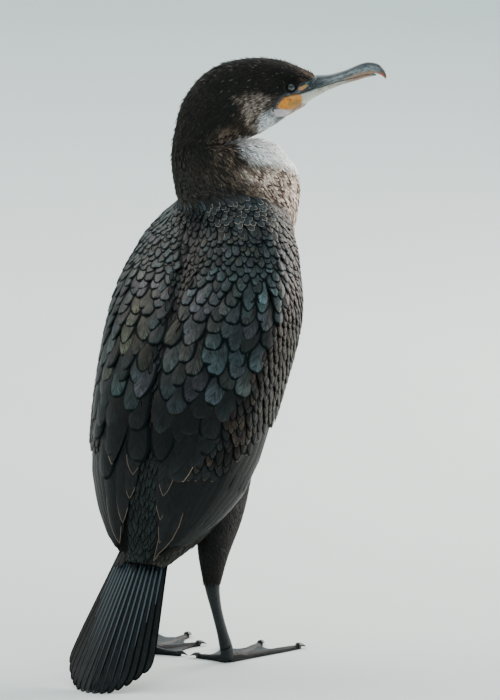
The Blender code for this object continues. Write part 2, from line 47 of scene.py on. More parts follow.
# The bird's own measures, as in the CAD: metres, +Z up, the breast faces -Y and the bird's right is -X.
OVER_ORIGIN = np.array([0.0190, -0.0155, 0.0])
SIDES = {"left": 1.0, "right": -1.0}
NECK_AXIS_Y = -0.085
HEAD_YAW = 63.0
BODY_RINGS = (
    (0, (-0.197, 0.118), (-0.173, 0.106), 0.020),
    (0, (-0.189, 0.140), (-0.149, 0.116), 0.034),
    (0, (-0.183, 0.170), (-0.113, 0.128), 0.050),
    (0, (-0.177, 0.205), (-0.076, 0.146), 0.063),
    (0, (-0.170, 0.240), (-0.044, 0.176), 0.072),
    (0, (-0.157, 0.280), (-0.017, 0.222), 0.077),
    (0, (-0.135, 0.322), (0.008, 0.275), 0.081),
    (0, (-0.109, 0.362), (0.026, 0.325), 0.083),
    (4, (-0.079, 0.398), (0.039, 0.372), 0.0785),
    (12, (-0.057, 0.428), (0.056, 0.415), 0.0705),
    (22, (-0.050, 0.447), (0.075, 0.445), 0.058),
    (34, (-0.055, 0.462), (0.077, 0.467), 0.047),
    (44, (-0.0565, 0.475), (0.070, 0.483), 0.040),
    (52, (-0.0575, 0.486), (0.0595, 0.496), 0.0345),
    (57, (-0.0576, 0.494), (0.0510, 0.507), 0.0320),
    (60, (-0.0574, 0.501), (0.0410, 0.514), 0.0300),
    (62, (-0.0568, 0.508), (0.0270, 0.5155), 0.0285),
    (63, (-0.0558, 0.516), (0.0105, 0.5120), 0.0270),
    (63, (-0.0530, 0.528), (0.0175, 0.5165), 0.0258),
    (63, (-0.0485, 0.547), (0.0260, 0.5200), 0.0250),
    (63, (-0.0395, 0.5645), (0.0345, 0.5240), 0.0245),
    (63, (-0.0262, 0.5802), (0.0440, 0.5298), 0.0240),
    (63, (-0.0078, 0.5914), (0.0535, 0.5358), 0.0235),
    (63, (0.0120, 0.5965), (0.0615, 0.5408), 0.0225),
    (63, (0.0320, 0.5978), (0.0685, 0.5450), 0.0210),
    (63, (0.0520, 0.5955), (0.0755, 0.5490), 0.0185),
    (63, (0.0715, 0.5885), (0.0825, 0.5555), 0.0150),
    (63, (0.0875, 0.5810), (0.0910, 0.5608), 0.0110),
)
# Ring numbers: the torso's own rings, then where the torso ends, and where the head starts and ends.
TORSO_RINGS = 11
TORSO_END = 10.5
HEAD_START = 20.5
HEAD_END = len(BODY_RINGS) - 1.0
UPPER_BILL = (
    ((0.0885, 0.5808), (0.0905, 0.5697), 0.0106),
    ((0.1014, 0.5815), (0.1034, 0.5738), 0.0085),
    ((0.1164, 0.5856), (0.1174, 0.5772), 0.0066),
    ((0.1284, 0.5906), (0.1284, 0.5801), 0.0056),
    ((0.1374, 0.5936), (0.1374, 0.5823), 0.0053),
    ((0.1454, 0.5935), (0.1449, 0.5833), 0.0055),
    ((0.1516, 0.5913), (0.1489, 0.5828), 0.0049),
    ((0.1560, 0.5868), (0.1516, 0.5818), 0.0036),
    ((0.1583, 0.5817), (0.1545, 0.5802), 0.0021),
    ((0.1586, 0.5772), (0.1573, 0.5772), 0.0008),
)
LOWER_BILL = (
    ((0.0905, 0.5690), (0.0915, 0.5611), 0.0098),
    ((0.1034, 0.5731), (0.0990, 0.5650), 0.0078),
    ((0.1174, 0.5765), (0.1134, 0.5708), 0.0062),
    ((0.1284, 0.5794), (0.1284, 0.5753), 0.0052),
    ((0.1374, 0.5816), (0.1394, 0.5786), 0.0045),
    ((0.1440, 0.5824), (0.1450, 0.5797), 0.0034),
    ((0.1482, 0.5816), (0.1486, 0.5806), 0.0016),
)
EYE_RADIUS = 0.0050
EYE_DEPTH = 0.0034
WING_TOP_Z = 0.446
WING_TIP_Z = 0.120
WING_STATIONS = (0.0, 0.12, 0.25, 0.40, 0.60, 0.80, 0.90, 0.96, 1.0)
WING_INNER_DEG = (22, 11, 5.5, 4.5, 5.5, 9, 14, 22, 34)
WING_OUTER_DEG = (100, 116, 121, 120, 116, 111, 101, 86, 58)
WING_THICKNESS = (0.006, 0.0135, 0.018, 0.0195, 0.0195, 0.0185, 0.015, 0.012, 0.009)
WING_ACROSS = (0.0, 0.12, 0.30, 0.55, 0.78, 0.92, 1.0)
WING_PROFILE = (0.25, 0.42, 0.72, 1.0, 0.80, 0.40, 0.15)
TAIL_ROOT = np.array([0.006, 0.0940, 0.1280])
TAIL_TIP = np.array([0.012, 0.190, -0.001])
TAIL_FEATHERS = 14
TAIL_FAN_DEG = 8.0
TAIL_ROOT_HALF = 0.023
TAIL_FEATHER_HALF = 0.0078
TAIL_OUTER_SHARE = 0.79
TAIL_ARCH = 0.008
THIGH = (
    ((0.036, -0.006, 0.200), 0.026, 0.036),
    ((0.040, 0.014, 0.158), 0.022, 0.031),
    ((0.0425, 0.031, 0.120), 0.0145, 0.0195),
    ((0.0435, 0.0365, 0.092), 0.0088, 0.0110),
)
TOES = (
    ("outer", 24.0, 0.094, 0.0052),
    ("middle", -2.0, 0.080, 0.0050),
    ("inner", -32.0, 0.060, 0.0046),
    ("hind", -88.0, 0.036, 0.0042),
)
FOOT_PLACE = (0.0448, 0.0050, 0.0)
CLAW_LENGTH = 0.011


def heading(yaw):
    """Level unit vectors ahead and to the right, for a yaw in degrees to the bird's right."""
    angle = np.radians(yaw)
    nothing = np.zeros_like(angle, float)
    ahead = np.stack([-np.sin(angle), -np.cos(angle), nothing], -1)
    rightward = np.stack([-np.cos(angle), np.sin(angle), nothing], -1)
    return ahead, rightward


def in_plane(yaw, place):
    """The point at (forward, height) in the upright plane of that yaw through the neck's axis."""
    ahead, _ = heading(yaw)
    return np.array([0.0, NECK_AXIS_Y, place[1]]) + ahead * place[0] + OVER_ORIGIN


RINGS = np.array([
    [*in_plane(yaw, back), *in_plane(yaw, belly), yaw, half]
    for yaw, back, belly, half in BODY_RINGS
])


def unit(vectors):
    return vectors / np.maximum(np.linalg.norm(vectors, axis=-1, keepdims=True), 1e-12)


def smooth_rows(rows, t):
    """Catmull-Rom through the rows, at the row numbers t."""
    t = np.clip(np.atleast_1d(np.asarray(t, float)), 0, len(rows) - 1)
    i = np.minimum(t.astype(int), len(rows) - 2)
    u = (t - i)[:, None]
    ends = np.vstack([2 * rows[0] - rows[1], rows, 2 * rows[-1] - rows[-2]])
    a, b, c, d = ends[i], ends[i + 1], ends[i + 2], ends[i + 3]
    return 0.5 * (2 * b + (c - a) * u + (2 * a - 5 * b + 4 * c - d) * u**2 + (3 * b - a - 3 * c + d) * u**3)


def body_point(t, theta):
    """Points of the body's surface at ring numbers t.

    theta is 0 on the back, and grows to the bird's right.
    """
    t, theta = np.broadcast_arrays(np.asarray(t, float), np.asarray(theta, float))
    rows = smooth_rows(RINGS, t.ravel())
    _, rightward = heading(rows[:, 6])
    middle = (rows[:, 0:3] + rows[:, 3:6]) / 2
    half = (rows[:, 0:3] - rows[:, 3:6]) / 2
    angle = theta.ravel()[:, None]
    points = middle + half * np.cos(angle) + rightward * rows[:, 7:8] * np.sin(angle)
    return points.reshape(*t.shape, 3)


def body_normal(t, theta):
    """Unit normals of the body's surface, facing out."""
    step = 1e-3
    along = body_point(np.asarray(t) + step, theta) - body_point(np.asarray(t) - step, theta)
    around = body_point(t, np.asarray(theta) + step) - body_point(t, np.asarray(theta) - step)
    return unit(np.cross(around, along))


RING_HEIGHTS = (RINGS[:TORSO_RINGS, 2] + RINGS[:TORSO_RINGS, 5]) / 2
RING_NUMBERS = np.arange(float(TORSO_RINGS))


def down_wing(t):
    """How far down the wing a ring number lies, as a share of the wing's length."""
    return (np.interp(t, RING_NUMBERS, RING_HEIGHTS) - WING_TOP_Z) / (WING_TIP_Z - WING_TOP_Z)


def wing_place(u, v):
    """Ring number and angle from the back's middle under a place on the wing: u across, v from its top."""
    u, v = np.broadcast_arrays(np.asarray(u, float), np.asarray(v, float))
    t = np.interp(WING_TOP_Z + (WING_TIP_Z - WING_TOP_Z) * v, RING_HEIGHTS, RING_NUMBERS)
    inner = np.radians(np.interp(v, WING_STATIONS, WING_INNER_DEG))
    outer = np.radians(np.interp(v, WING_STATIONS, WING_OUTER_DEG))
    return t, inner + (outer - inner) * u


def wing_height(u, v):
    """How far the wing stands off the body, fading out beside it and above it."""
    height = np.interp(v, WING_STATIONS, WING_THICKNESS) * np.interp(u, WING_ACROSS, WING_PROFILE)
    beside = np.clip(1 + np.minimum(u, 0) / 0.10, 0, 1) * np.clip(1 - np.maximum(u - 1, 0) / 0.06, 0, 1)
    above = np.clip(1 + np.minimum(v, 0) / 0.10, 0, 1)
    return height * beside * above


def wing_point(side, u, v, lift=0.0):
    """A point over the torso on the wing's outer face, or lift above it."""
    t, theta = wing_place(u, v)
    theta = theta * -SIDES[side]
    height = np.interp(v, WING_STATIONS, WING_THICKNESS) * np.interp(u, WING_ACROSS, WING_PROFILE)
    past_tip = np.maximum(np.asarray(v) - 1.0, 0) * (WING_TOP_Z - WING_TIP_Z)
    down = np.array([0.0, 0.30, -0.95])
    return (
        body_point(t, theta) + body_normal(t, theta) * (height + lift)[..., None]
        + past_tip[..., None] * down
    )


def back_point(t, theta):
    """The upper back's envelope: the body, with the wings' height blended in beside them."""
    t, theta = np.broadcast_arrays(np.asarray(t, float), np.asarray(theta, float))
    v = down_wing(t)
    v = np.where(t > 10, (10 - t) * 0.08 + v, v)
    inner = np.radians(np.interp(v, WING_STATIONS, WING_INNER_DEG))
    outer = np.radians(np.interp(v, WING_STATIONS, WING_OUTER_DEG))
    turned = (np.abs(np.angle(np.exp(1j * theta))) - inner) / (outer - inner)
    return body_point(t, theta) + body_normal(t, theta) * wing_height(turned, v)[..., None]


# Looks

# Barbs slant out from the shaft at 30 degrees: the shares of a step along them that go ahead and outwards.
BARB_AHEAD = 0.5
BARB_OUT = 0.87


def linear(code, alpha=1.0):
    """A colour given as sRGB hex, in the linear values that Blender works in."""
    values = [int(code[i:i + 2], 16) / 255 for i in (0, 2, 4)]
    return (*[v / 12.92 if v <= 0.04045 else ((v + 0.055) / 1.055) ** 2.4 for v in values], alpha)


def add(tree, kind, links=None, **settings):
    """Adds a shader node with its settings.

    links maps an input's name or number to a node, a socket or a value.
    """
    made = tree.nodes.new("ShaderNode" + kind)
    for name, value in settings.items():
        setattr(made, name, value)
    for key, value in (links or {}).items():
        if isinstance(value, bpy.types.Node):
            value = next(socket for socket in value.outputs if socket.enabled)
        if isinstance(value, bpy.types.NodeSocket):
            tree.links.new(value, made.inputs[key])
        else:
            made.inputs[key].default_value = value
    return made


def new_material(name):
    """An empty material and its shader."""
    made = bpy.data.materials.new(name)
    made.use_nodes = True
    tree = made.node_tree
    tree.nodes.clear()
    shader = add(tree, "BsdfPrincipled")
    add(tree, "OutputMaterial", {"Surface": shader})
    return made, tree, shader


def plumage_material(name, rim, pitch, roughness, shaft):
    """Feather keratin: a tinted vane with a rim along its outline, a shaft, and barbs that slant out from it.

    Each feather brings its tint and seed, its rim's colour with how far up its sides the rim runs, and
    its own size in metres: half width, length and rim width, then the strength of its shaft's line.
    """
    made, tree, shader = new_material(name)
    vane = add(tree, "SeparateXYZ", {0: add(tree, "UVMap", uv_map="Vane")})
    across, along = vane.outputs[0], vane.outputs[1]
    tint = add(tree, "Attribute", attribute_name="tint")
    edge = add(tree, "Attribute", attribute_name="edge")
    size = add(tree, "Attribute", attribute_name="size")
    measures = add(tree, "SeparateColor", {0: size.outputs["Color"]})
    half, length, rim_width = measures.outputs[0], measures.outputs[1], measures.outputs[2]
    # Distances in metres from the shaft, from the side edges and from the tip.
    signed = add(tree, "Math", {0: across, 1: 2.0, 2: -1.0}, operation="MULTIPLY_ADD")
    share = add(tree, "Math", {0: signed}, operation="ABSOLUTE")
    from_shaft = add(tree, "Math", {0: share, 1: half}, operation="MULTIPLY")
    from_side = add(tree, "Math", {0: half, 1: from_shaft}, operation="SUBTRACT")
    up = add(tree, "Math", {0: 1.0, 1: along}, operation="SUBTRACT")
    from_tip = add(tree, "Math", {0: up, 1: length}, operation="MULTIPLY")
    # The rim keeps its width round the outline, and fades out up the sides.
    above = add(tree, "Math", {0: up, 1: edge.outputs["Alpha"]}, operation="SUBTRACT")
    fading = add(tree, "MapRange", {0: above, 1: -0.10, 2: 0.06, 3: 0.0, 4: 0.010},
                 interpolation_type="SMOOTHSTEP")
    side_rim = add(tree, "Math", {0: from_side, 1: fading}, operation="ADD")
    nearest = add(tree, "Math", {0: side_rim, 1: from_tip}, operation="MINIMUM")
    depth = add(tree, "Math", {0: nearest, 1: rim_width}, operation="DIVIDE")
    rimmed = add(tree, "MapRange", {0: depth, 1: 0.60, 2: 1.30, 3: rim, 4: 0.0},
                 interpolation_type="SMOOTHSTEP")
    # Barbs leave the shaft at 30 degrees towards the tip. Their streaks follow them, pitch apart.
    run = add(tree, "Math", {0: along, 1: length}, operation="MULTIPLY")
    ahead = add(tree, "Math", {0: run, 1: BARB_AHEAD}, operation="MULTIPLY")
    slant = add(tree, "Math", {0: from_shaft, 1: -BARB_OUT, 2: ahead}, operation="MULTIPLY_ADD")
    barb = add(tree, "Math", {0: slant, 1: pitch}, operation="DIVIDE")
    seed = add(tree, "Math", {0: tint.outputs["Alpha"], 1: 91.0}, operation="MULTIPLY")
    out = add(tree, "Math", {0: signed, 1: 1.3}, operation="MULTIPLY")
    barbs = add(tree, "CombineXYZ", {0: barb, 1: out, 2: seed})
    grain = add(tree, "TexNoise", {"Vector": barbs, "Scale": 1.0, "Detail": 3.0, "Roughness": 0.6})
    # Structural colour drifts over the vane in patches some 8 mm wide.
    where = add(tree, "CombineXYZ", {0: run, 1: from_shaft, 2: seed})
    patch = add(tree, "TexNoise", {"Vector": where, "Scale": 1 / 0.008, "Detail": 2.0})
    hue = add(tree, "MapRange", {0: patch, 1: 0.3, 2: 0.7, 3: 0.46, 4: 0.54})
    streaked = add(tree, "MapRange", {0: grain, 1: 0.32, 2: 0.70, 3: 0.45, 4: 1.75},
                   interpolation_type="SMOOTHSTEP")
    # Painted shade: each vane is darkened towards its root, as shade from the feathers that lie over it, and
    # lightened near its tip.
    overlap_shade = add(tree, "MapRange", {0: along, 1: 0.5, 2: 0.92, 3: 0.50, 4: 1.25})
    blotch = add(tree, "MapRange", {0: patch, 1: 0.35, 2: 0.65, 3: 0.70, 4: 1.30})
    barbs_and_shade = add(tree, "Math", {0: streaked, 1: overlap_shade}, operation="MULTIPLY")
    light = add(tree, "Math", {0: barbs_and_shade, 1: blotch}, operation="MULTIPLY")
    vane_colour = add(tree, "HueSaturation", {"Hue": hue, "Value": light, "Color": tint.outputs["Color"]})
    rim_colour = add(tree, "Mix", {0: rimmed, 6: vane_colour, 7: edge.outputs["Color"]}, data_type="RGBA")
    near_shaft = add(tree, "MapRange", {0: from_shaft, 1: 0.0003, 2: 0.0008, 3: 0.85, 4: 0.0})
    line = add(tree, "Math", {0: near_shaft, 1: size.outputs["Alpha"]}, operation="MULTIPLY")
    colour = add(tree, "Mix", {0: line, 6: rim_colour, 7: shaft}, data_type="RGBA")
    height = add(tree, "Math", {0: line, 1: grain}, operation="ADD")
    bump = add(tree, "Bump", {"Strength": 0.45, "Distance": 0.0006, "Height": height})
    gloss = add(tree, "MapRange", {0: grain, 1: 0.2, 2: 0.8, 3: roughness - 0.06, 4: roughness + 0.08})
    # Rims are looser and drink up the light.
    shine = add(tree, "MapRange", {0: rimmed, 3: 0.22, 4: 0.05})
    tree.links.new(colour.outputs[2], shader.inputs["Base Color"])
    tree.links.new(bump.outputs[0], shader.inputs["Normal"])
    tree.links.new(gloss.outputs[0], shader.inputs["Roughness"])
    tree.links.new(shine.outputs[0], shader.inputs["Specular IOR Level"])
    return made


def hair_feathers():
    """Hair-like contour feathers, whose loose barbs scatter light: nearly matt, with fine darker edges."""
    return plumage_material("hair-like contour feathers", 0.55, 0.0006, 0.62, linear("1c1a19"))


def scaled_feathers():
    """Scale-like feathers of the back: tight satin vanes, dark rimmed. Their barbs are drawn 0.8 mm apart."""
    return plumage_material("scale-like back feathers", 1.0, 0.0008, 0.42, linear("06090a"))


def flight_vanes():
    """Flight feathers: long zipped vanes with a satin slip and fine slanted barbs, drawn 1.2 mm apart."""
    return plumage_material("flight feather vanes", 1.0, 0.0012, 0.45, linear("07090a"))


def tail_vanes():
    """Tail feathers: stiff, harder and glossier vanes, with barbs that part, drawn 1.6 mm apart."""
    return plumage_material("stiff tail feather vanes", 1.0, 0.0016, 0.36, linear("0a0d0f"))


def down_skin():
    """Skin with down, in the coat's own markings: a soft matt nap with tufts a millimetre across."""
    made, tree, shader = new_material("skin with short down")
    tint = add(tree, "Attribute", attribute_name="tint")
    place = add(tree, "TexCoord").outputs["Object"]
    nap = add(tree, "TexNoise", {"Vector": place, "Scale": 1 / 0.0011, "Detail": 3.0})
    clumps = add(tree, "TexNoise", {"Vector": place, "Scale": 1 / 0.006, "Detail": 2.0})
    fine = add(tree, "MapRange", {0: nap, 1: 0.3, 2: 0.7, 3: 0.75, 4: 1.20})
    broad = add(tree, "MapRange", {0: clumps, 1: 0.3, 2: 0.7, 3: 0.80, 4: 1.15})
    light = add(tree, "Math", {0: fine, 1: broad}, operation="MULTIPLY")
    colour = add(tree, "HueSaturation", {"Value": light, "Color": tint.outputs["Color"]})
    bump = add(tree, "Bump", {"Strength": 0.5, "Distance": 0.0008, "Height": nap})
    tree.links.new(colour.outputs[0], shader.inputs["Base Color"])
    tree.links.new(bump.outputs[0], shader.inputs["Normal"])
    shader.inputs["Roughness"].default_value = 0.72
    shader.inputs["Specular IOR Level"].default_value = 0.12
    return made


def tinted_material(name, roughness, relief, size):
    """A hard or moist surface in its piece's own colours, with relief in grains of that size in metres."""
    made, tree, shader = new_material(name)
    tint = add(tree, "Attribute", attribute_name="tint")
    place = add(tree, "TexCoord").outputs["Object"]
    grain = add(tree, "TexNoise", {"Vector": place, "Scale": 1 / size, "Detail": 4.0, "Roughness": 0.6})
    light = add(tree, "MapRange", {0: grain, 1: 0.3, 2: 0.7, 3: 0.82, 4: 1.15})
    colour = add(tree, "HueSaturation", {"Value": light, "Color": tint.outputs["Color"]})
    bump = add(tree, "Bump", {"Strength": relief, "Distance": size * 0.3, "Height": grain})
    tree.links.new(colour.outputs[0], shader.inputs["Base Color"])
    tree.links.new(bump.outputs[0], shader.inputs["Normal"])
    shader.inputs["Roughness"].default_value = roughness
    return made, shader


def bill_horn():
    """Bill sheath: keratin laid down in thin sheets that flake and wear, satin, with chips of 1.5 mm."""
    return tinted_material("flaking bill keratin", 0.36, 0.5, 0.0015)[0]


def shaft_horn():
    """Bare feather shafts: smooth slate keratin, which catches a thin highlight along its length."""
    return tinted_material("bare feather shaft", 0.34, 0.15, 0.0020)[0]


def claw_horn():
    """Claws: dense dark keratin, worn smooth and fairly glossy, with growth lines near a millimetre apart."""
    return tinted_material("worn claw keratin", 0.32, 0.35, 0.0010)[0]


def wet_eye():
    """The eyeball: a glass-clear wet film over the coloured iris, so it has one sharp highlight."""
    made, shader = tinted_material("wet cornea over iris", 0.08, 0.0, 0.0100)
    shader.inputs["Coat Weight"].default_value = 1.0
    shader.inputs["Coat Roughness"].default_value = 0.03
    return made


def lid_skin():
    """Eyelids: bare skin in beads near a millimetre across, dark and dull."""
    made, shader = tinted_material("beaded eyelid skin", 0.60, 0.5, 0.0010)
    shader.inputs["Specular IOR Level"].default_value = 0.15
    return made


def face_skin():
    """Bare face skin: thin and leathery, wrinkled in pleats of about a millimetre, with a soft shine."""
    return tinted_material("bare pleated face skin", 0.48, 0.6, 0.0009)[0]


def foot_leather():
    """Foot skin: scutes over the toes and webs, drawn 2.2 mm across, dark slate with darker creases."""
    made, tree, shader = new_material("scuted foot leather")
    place = add(tree, "TexCoord").outputs["Object"]
    cells = add(tree, "TexVoronoi", {"Vector": place, "Scale": 1 / 0.0022}, feature="DISTANCE_TO_EDGE")
    broad = add(tree, "TexNoise", {"Vector": place, "Scale": 1 / 0.011, "Detail": 3.0})
    crease = add(tree, "MapRange", {0: cells, 1: 0.02, 2: 0.14}, interpolation_type="SMOOTHSTEP")
    worn = add(tree, "MapRange", {0: broad, 1: 0.35, 2: 0.65})
    scute = add(tree, "Mix", {0: worn, 6: linear("10161a"), 7: linear("1f272d")}, data_type="RGBA")
    colour = add(tree, "Mix", {0: crease, 6: linear("06080a"), 7: scute}, data_type="RGBA")
    bump = add(tree, "Bump", {"Strength": 0.7, "Distance": 0.0003, "Height": crease})
    tree.links.new(colour.outputs[2], shader.inputs["Base Color"])
    tree.links.new(bump.outputs[0], shader.inputs["Normal"])
    shader.inputs["Roughness"].default_value = 0.42
    shader.inputs["Specular IOR Level"].default_value = 0.2
    return made


def painted_board():
    """The floor: board under matt emulsion, even and shadowless but for the roller's faint clouds."""
    made, tree, shader = new_material("matt painted board")
    place = add(tree, "TexCoord").outputs["Object"]
    cloud = add(tree, "TexNoise", {"Vector": place, "Scale": 1 / 1.4, "Detail": 2.0})
    share = add(tree, "MapRange", {0: cloud, 1: 0.3, 2: 0.7})
    colour = add(tree, "Mix", {0: share, 6: linear("d6e0de"), 7: linear("e0e8e6")}, data_type="RGBA")
    tree.links.new(colour.outputs[2], shader.inputs["Base Color"])
    shader.inputs["Roughness"].default_value = 0.9
    return made


# Meshes

def mesh_object(name, points, faces, material, uv=None, colours=None, smooth=True):
    """A mesh object from arrays: faces are rows of corner numbers of one length, or a list of such arrays.

    uv maps a map's name to one pair a corner point, and colours an attribute's name to four numbers a point.
    """
    groups = faces if isinstance(faces, list) else [faces]
    groups = [np.asarray(g) for g in groups if len(g)]
    corners = np.concatenate([g.ravel() for g in groups]).astype(np.int32)
    lengths = np.concatenate([np.full(len(g), g.shape[1]) for g in groups]).astype(np.int32)
    mesh = bpy.data.meshes.new(name)
    mesh.vertices.add(len(points))
    mesh.vertices.foreach_set("co", np.asarray(points, np.float32).ravel())
    mesh.loops.add(len(corners))
    mesh.loops.foreach_set("vertex_index", corners)
    mesh.polygons.add(len(lengths))
    mesh.polygons.foreach_set("loop_start", (np.cumsum(lengths) - lengths).astype(np.int32))
    mesh.polygons.foreach_set("loop_total", lengths)
    mesh.update(calc_edges=True)
    mesh.polygons.foreach_set("use_smooth", np.full(len(lengths), smooth))
    for key, pairs in (uv or {}).items():
        layer = mesh.uv_layers.new(name=key)
        placed = np.asarray(pairs, np.float32)[corners]
        # A face over an unwrap's seam takes the far side's end.
        face = np.repeat(np.arange(len(lengths)), lengths)
        highest = np.full(len(lengths), -1.0)
        np.maximum.at(highest, face, placed[:, 0])
        placed[:, 0] += highest[face] - placed[:, 0] > 0.5
        layer.data.foreach_set("uv", placed.ravel())
    for key, values in (colours or {}).items():
        layer = mesh.attributes.new(key, "FLOAT_COLOR", "POINT")
        layer.data.foreach_set("color", np.asarray(values, np.float32).ravel())
    mesh.validate()
    mesh.materials.append(material)
    made = bpy.data.objects.new(name, mesh)
    bpy.context.scene.collection.objects.link(made)
    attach(made, "root")
    return made


def grid_faces(rows, columns, wrap=False):
    """Quads of a grid of points, row by row. wrap joins the last column to the first."""
    i, j = np.meshgrid(np.arange(rows - 1), np.arange(columns - (0 if wrap else 1)), indexing="ij")
    i, j = i.ravel(), j.ravel()
    k = (j + 1) % columns
    return np.stack([i * columns + j, i * columns + k, (i + 1) * columns + k, (i + 1) * columns + j], -1)


def tube_object(name, sections, material, uv, colour):
    """A closed loft: sections is an array of rings of points, with its unwrap and its colour at each."""
    sections = np.asarray(sections, float)
    rows, columns = sections.shape[:2]
    points = np.vstack([sections.reshape(-1, 3), sections[0].mean(0), sections[-1].mean(0)])
    j = np.arange(columns)
    k = (j + 1) % columns
    first = np.stack([np.full(columns, rows * columns), k, j], -1)
    last = np.stack([np.full(columns, rows * columns + 1), (rows - 1) * columns + j,
                     (rows - 1) * columns + k], -1)
    flat_uv = uv.reshape(-1, 2)
    shade = with_alpha(np.broadcast_to(colour, sections.shape))
    return mesh_object(
        name, points, [grid_faces(rows, columns, True), first, last], material,
        {"OFBake": np.vstack([flat_uv, flat_uv[0], flat_uv[-1]])},
        {"tint": np.vstack([shade, shade[0], shade[-1]])},
    )


# Feathers

class Surface:
    """A sheet that feathers lie on. place gives points, and lie says which way along it the tail is."""

    def __init__(self, place, lie, turn):
        self.place, self.lie, self.turn = place, lie, turn

    def frame(self, a, b):
        """Points, what a and b each move them by, and the outward normals."""
        step = 2e-3
        by_a = (self.place(a + step, b) - self.place(a - step, b)) / (2 * step)
        by_b = (self.place(a, b + step) - self.place(a, b - step)) / (2 * step)
        return self.place(a, b), by_a, by_b, unit(np.cross(by_b, by_a)) * self.turn


BODY = Surface(body_point, -1.0, 1.0)
BACK = Surface(back_point, -1.0, 1.0)
WINGS = {
    side: Surface(lambda v, u, side=side: wing_point(side, u, v, np.zeros(np.shape(v))), 1.0, SIDES[side])
    for side in SIDES
}

# Four-sided faces in a piece of coat, at most.
PIECE_FACES = 96000

# A feather's half width along it as shares of its greatest.
SHAPES = {
    "flight": ((0, 0.55), (0.2, 0.85), (0.5, 1.0), (0.75, 0.98), (0.88, 0.84), (0.95, 0.60), (0.985, 0.34),
               (1, 0.1)),
    "pointed": ((0, 0.55), (0.2, 0.9), (0.5, 1.0), (0.7, 0.88), (0.85, 0.62), (0.93, 0.40), (0.98, 0.18),
                (1, 0.03)),
    "round": ((0, 0.45), (0.25, 0.8), (0.5, 0.97), (0.7, 1.0), (0.83, 0.92), (0.92, 0.72), (0.975, 0.42),
              (1, 0.1)),
    "lancet": ((0, 0.5), (0.3, 0.9), (0.55, 1.0), (0.75, 0.84), (0.9, 0.5), (1, 0.08)),
    "scale": ((0, 0.5), (0.35, 0.9), (0.65, 1.0), (0.85, 0.78), (0.96, 0.40), (1, 0.1)),
    "wisp": ((0, 0.5), (0.4, 1.0), (0.75, 0.7), (1, 0.08)),
    "blade": ((0, 0.6), (0.3, 0.9), (0.5, 1.0), (0.64, 0.95), (0.74, 0.82), (0.84, 0.60), (0.93, 0.34),
              (1, 0.04)),
    "arrow": ((0, 0.6), (0.3, 0.9), (0.6, 1.0), (0.80, 0.97), (0.87, 0.86), (0.93, 0.60), (0.97, 0.32),
              (1, 0.04)),
}


def tangent_step(by_a, by_b, way):
    """How far a and b move for a metre along a tangent."""
    aa, ab, bb = (by_a * by_a).sum(-1), (by_a * by_b).sum(-1), (by_b * by_b).sum(-1)
    pa, pb = (by_a * way).sum(-1), (by_b * way).sum(-1)
    det = np.maximum(aa * bb - ab * ab, 1e-14)
    return (bb * pa - ab * pb) / det, (aa * pb - ab * pa) / det


def towards(surface, a, b, length, swerve=0.0):
    """How far a and b move from root to tip, for feathers that lie towards the tail, turned by swerve."""
    _, by_a, by_b, normal = surface.frame(a, b)
    ahead = unit(by_a) * surface.lie
    beside = np.cross(normal, ahead)
    swerve = np.broadcast_to(swerve, np.shape(a))[..., None]
    way = ahead * np.cos(swerve) + beside * np.sin(swerve)
    step_a, step_b = tangent_step(by_a, by_b, way)
    return step_a * length, step_b * length


def vanes(surface, a, b, reach, half, shape, lift, camber=0.10, tilt=0.0, columns=5, curl=0.0, thick=0.0004):
    """Nodes of feathers, as (feathers, sections, columns + 2, 3): the top's, then the underside's.

    lift is (height at the root, height at the tip), camber is the middle's rise as a share of the half
    width, and curl lifts or drops the tip.
    """
    f, shares = np.array(SHAPES[shape]).T
    x = np.linspace(-1, 1, columns)

    def spread(value):
        return np.broadcast_to(np.asarray(value, float), np.shape(a))

    centre_a = a[:, None] + reach[0][:, None] * f
    centre_b = b[:, None] + reach[1][:, None] * f
    _, by_a, by_b, normal = surface.frame(centre_a, centre_b)
    ahead = unit(by_a * reach[0][:, None, None] + by_b * reach[1][:, None, None])
    beside = np.cross(normal, ahead)
    step_a, step_b = tangent_step(by_a, by_b, beside)
    wide = spread(half)[:, None] * shares
    node_a = centre_a[..., None] + (np.clip(step_a, -60, 60) * wide)[..., None] * x
    node_b = centre_b[..., None] + (np.clip(step_b, -60, 60) * wide)[..., None] * x
    top = surface.place(node_a, node_b)
    rise = (
        spread(lift[0])[:, None] + (spread(lift[1]) - spread(lift[0]))[:, None] * f
        + spread(curl)[:, None] * f**3
    )
    height = rise[..., None] + wide[..., None] * (spread(camber)[:, None, None] * (1 - x * x)
                                                  + spread(tilt)[:, None, None] * x)
    top = top + normal[:, :, None, :] * height[..., None]
    under = top[:, :, [0, -1]] - normal[:, :, None, :] * thick
    length = np.linalg.norm(np.diff(surface.place(centre_a, centre_b), axis=1), axis=-1).sum(1)
    return np.concatenate([top, under], 2), f, x, wide, length


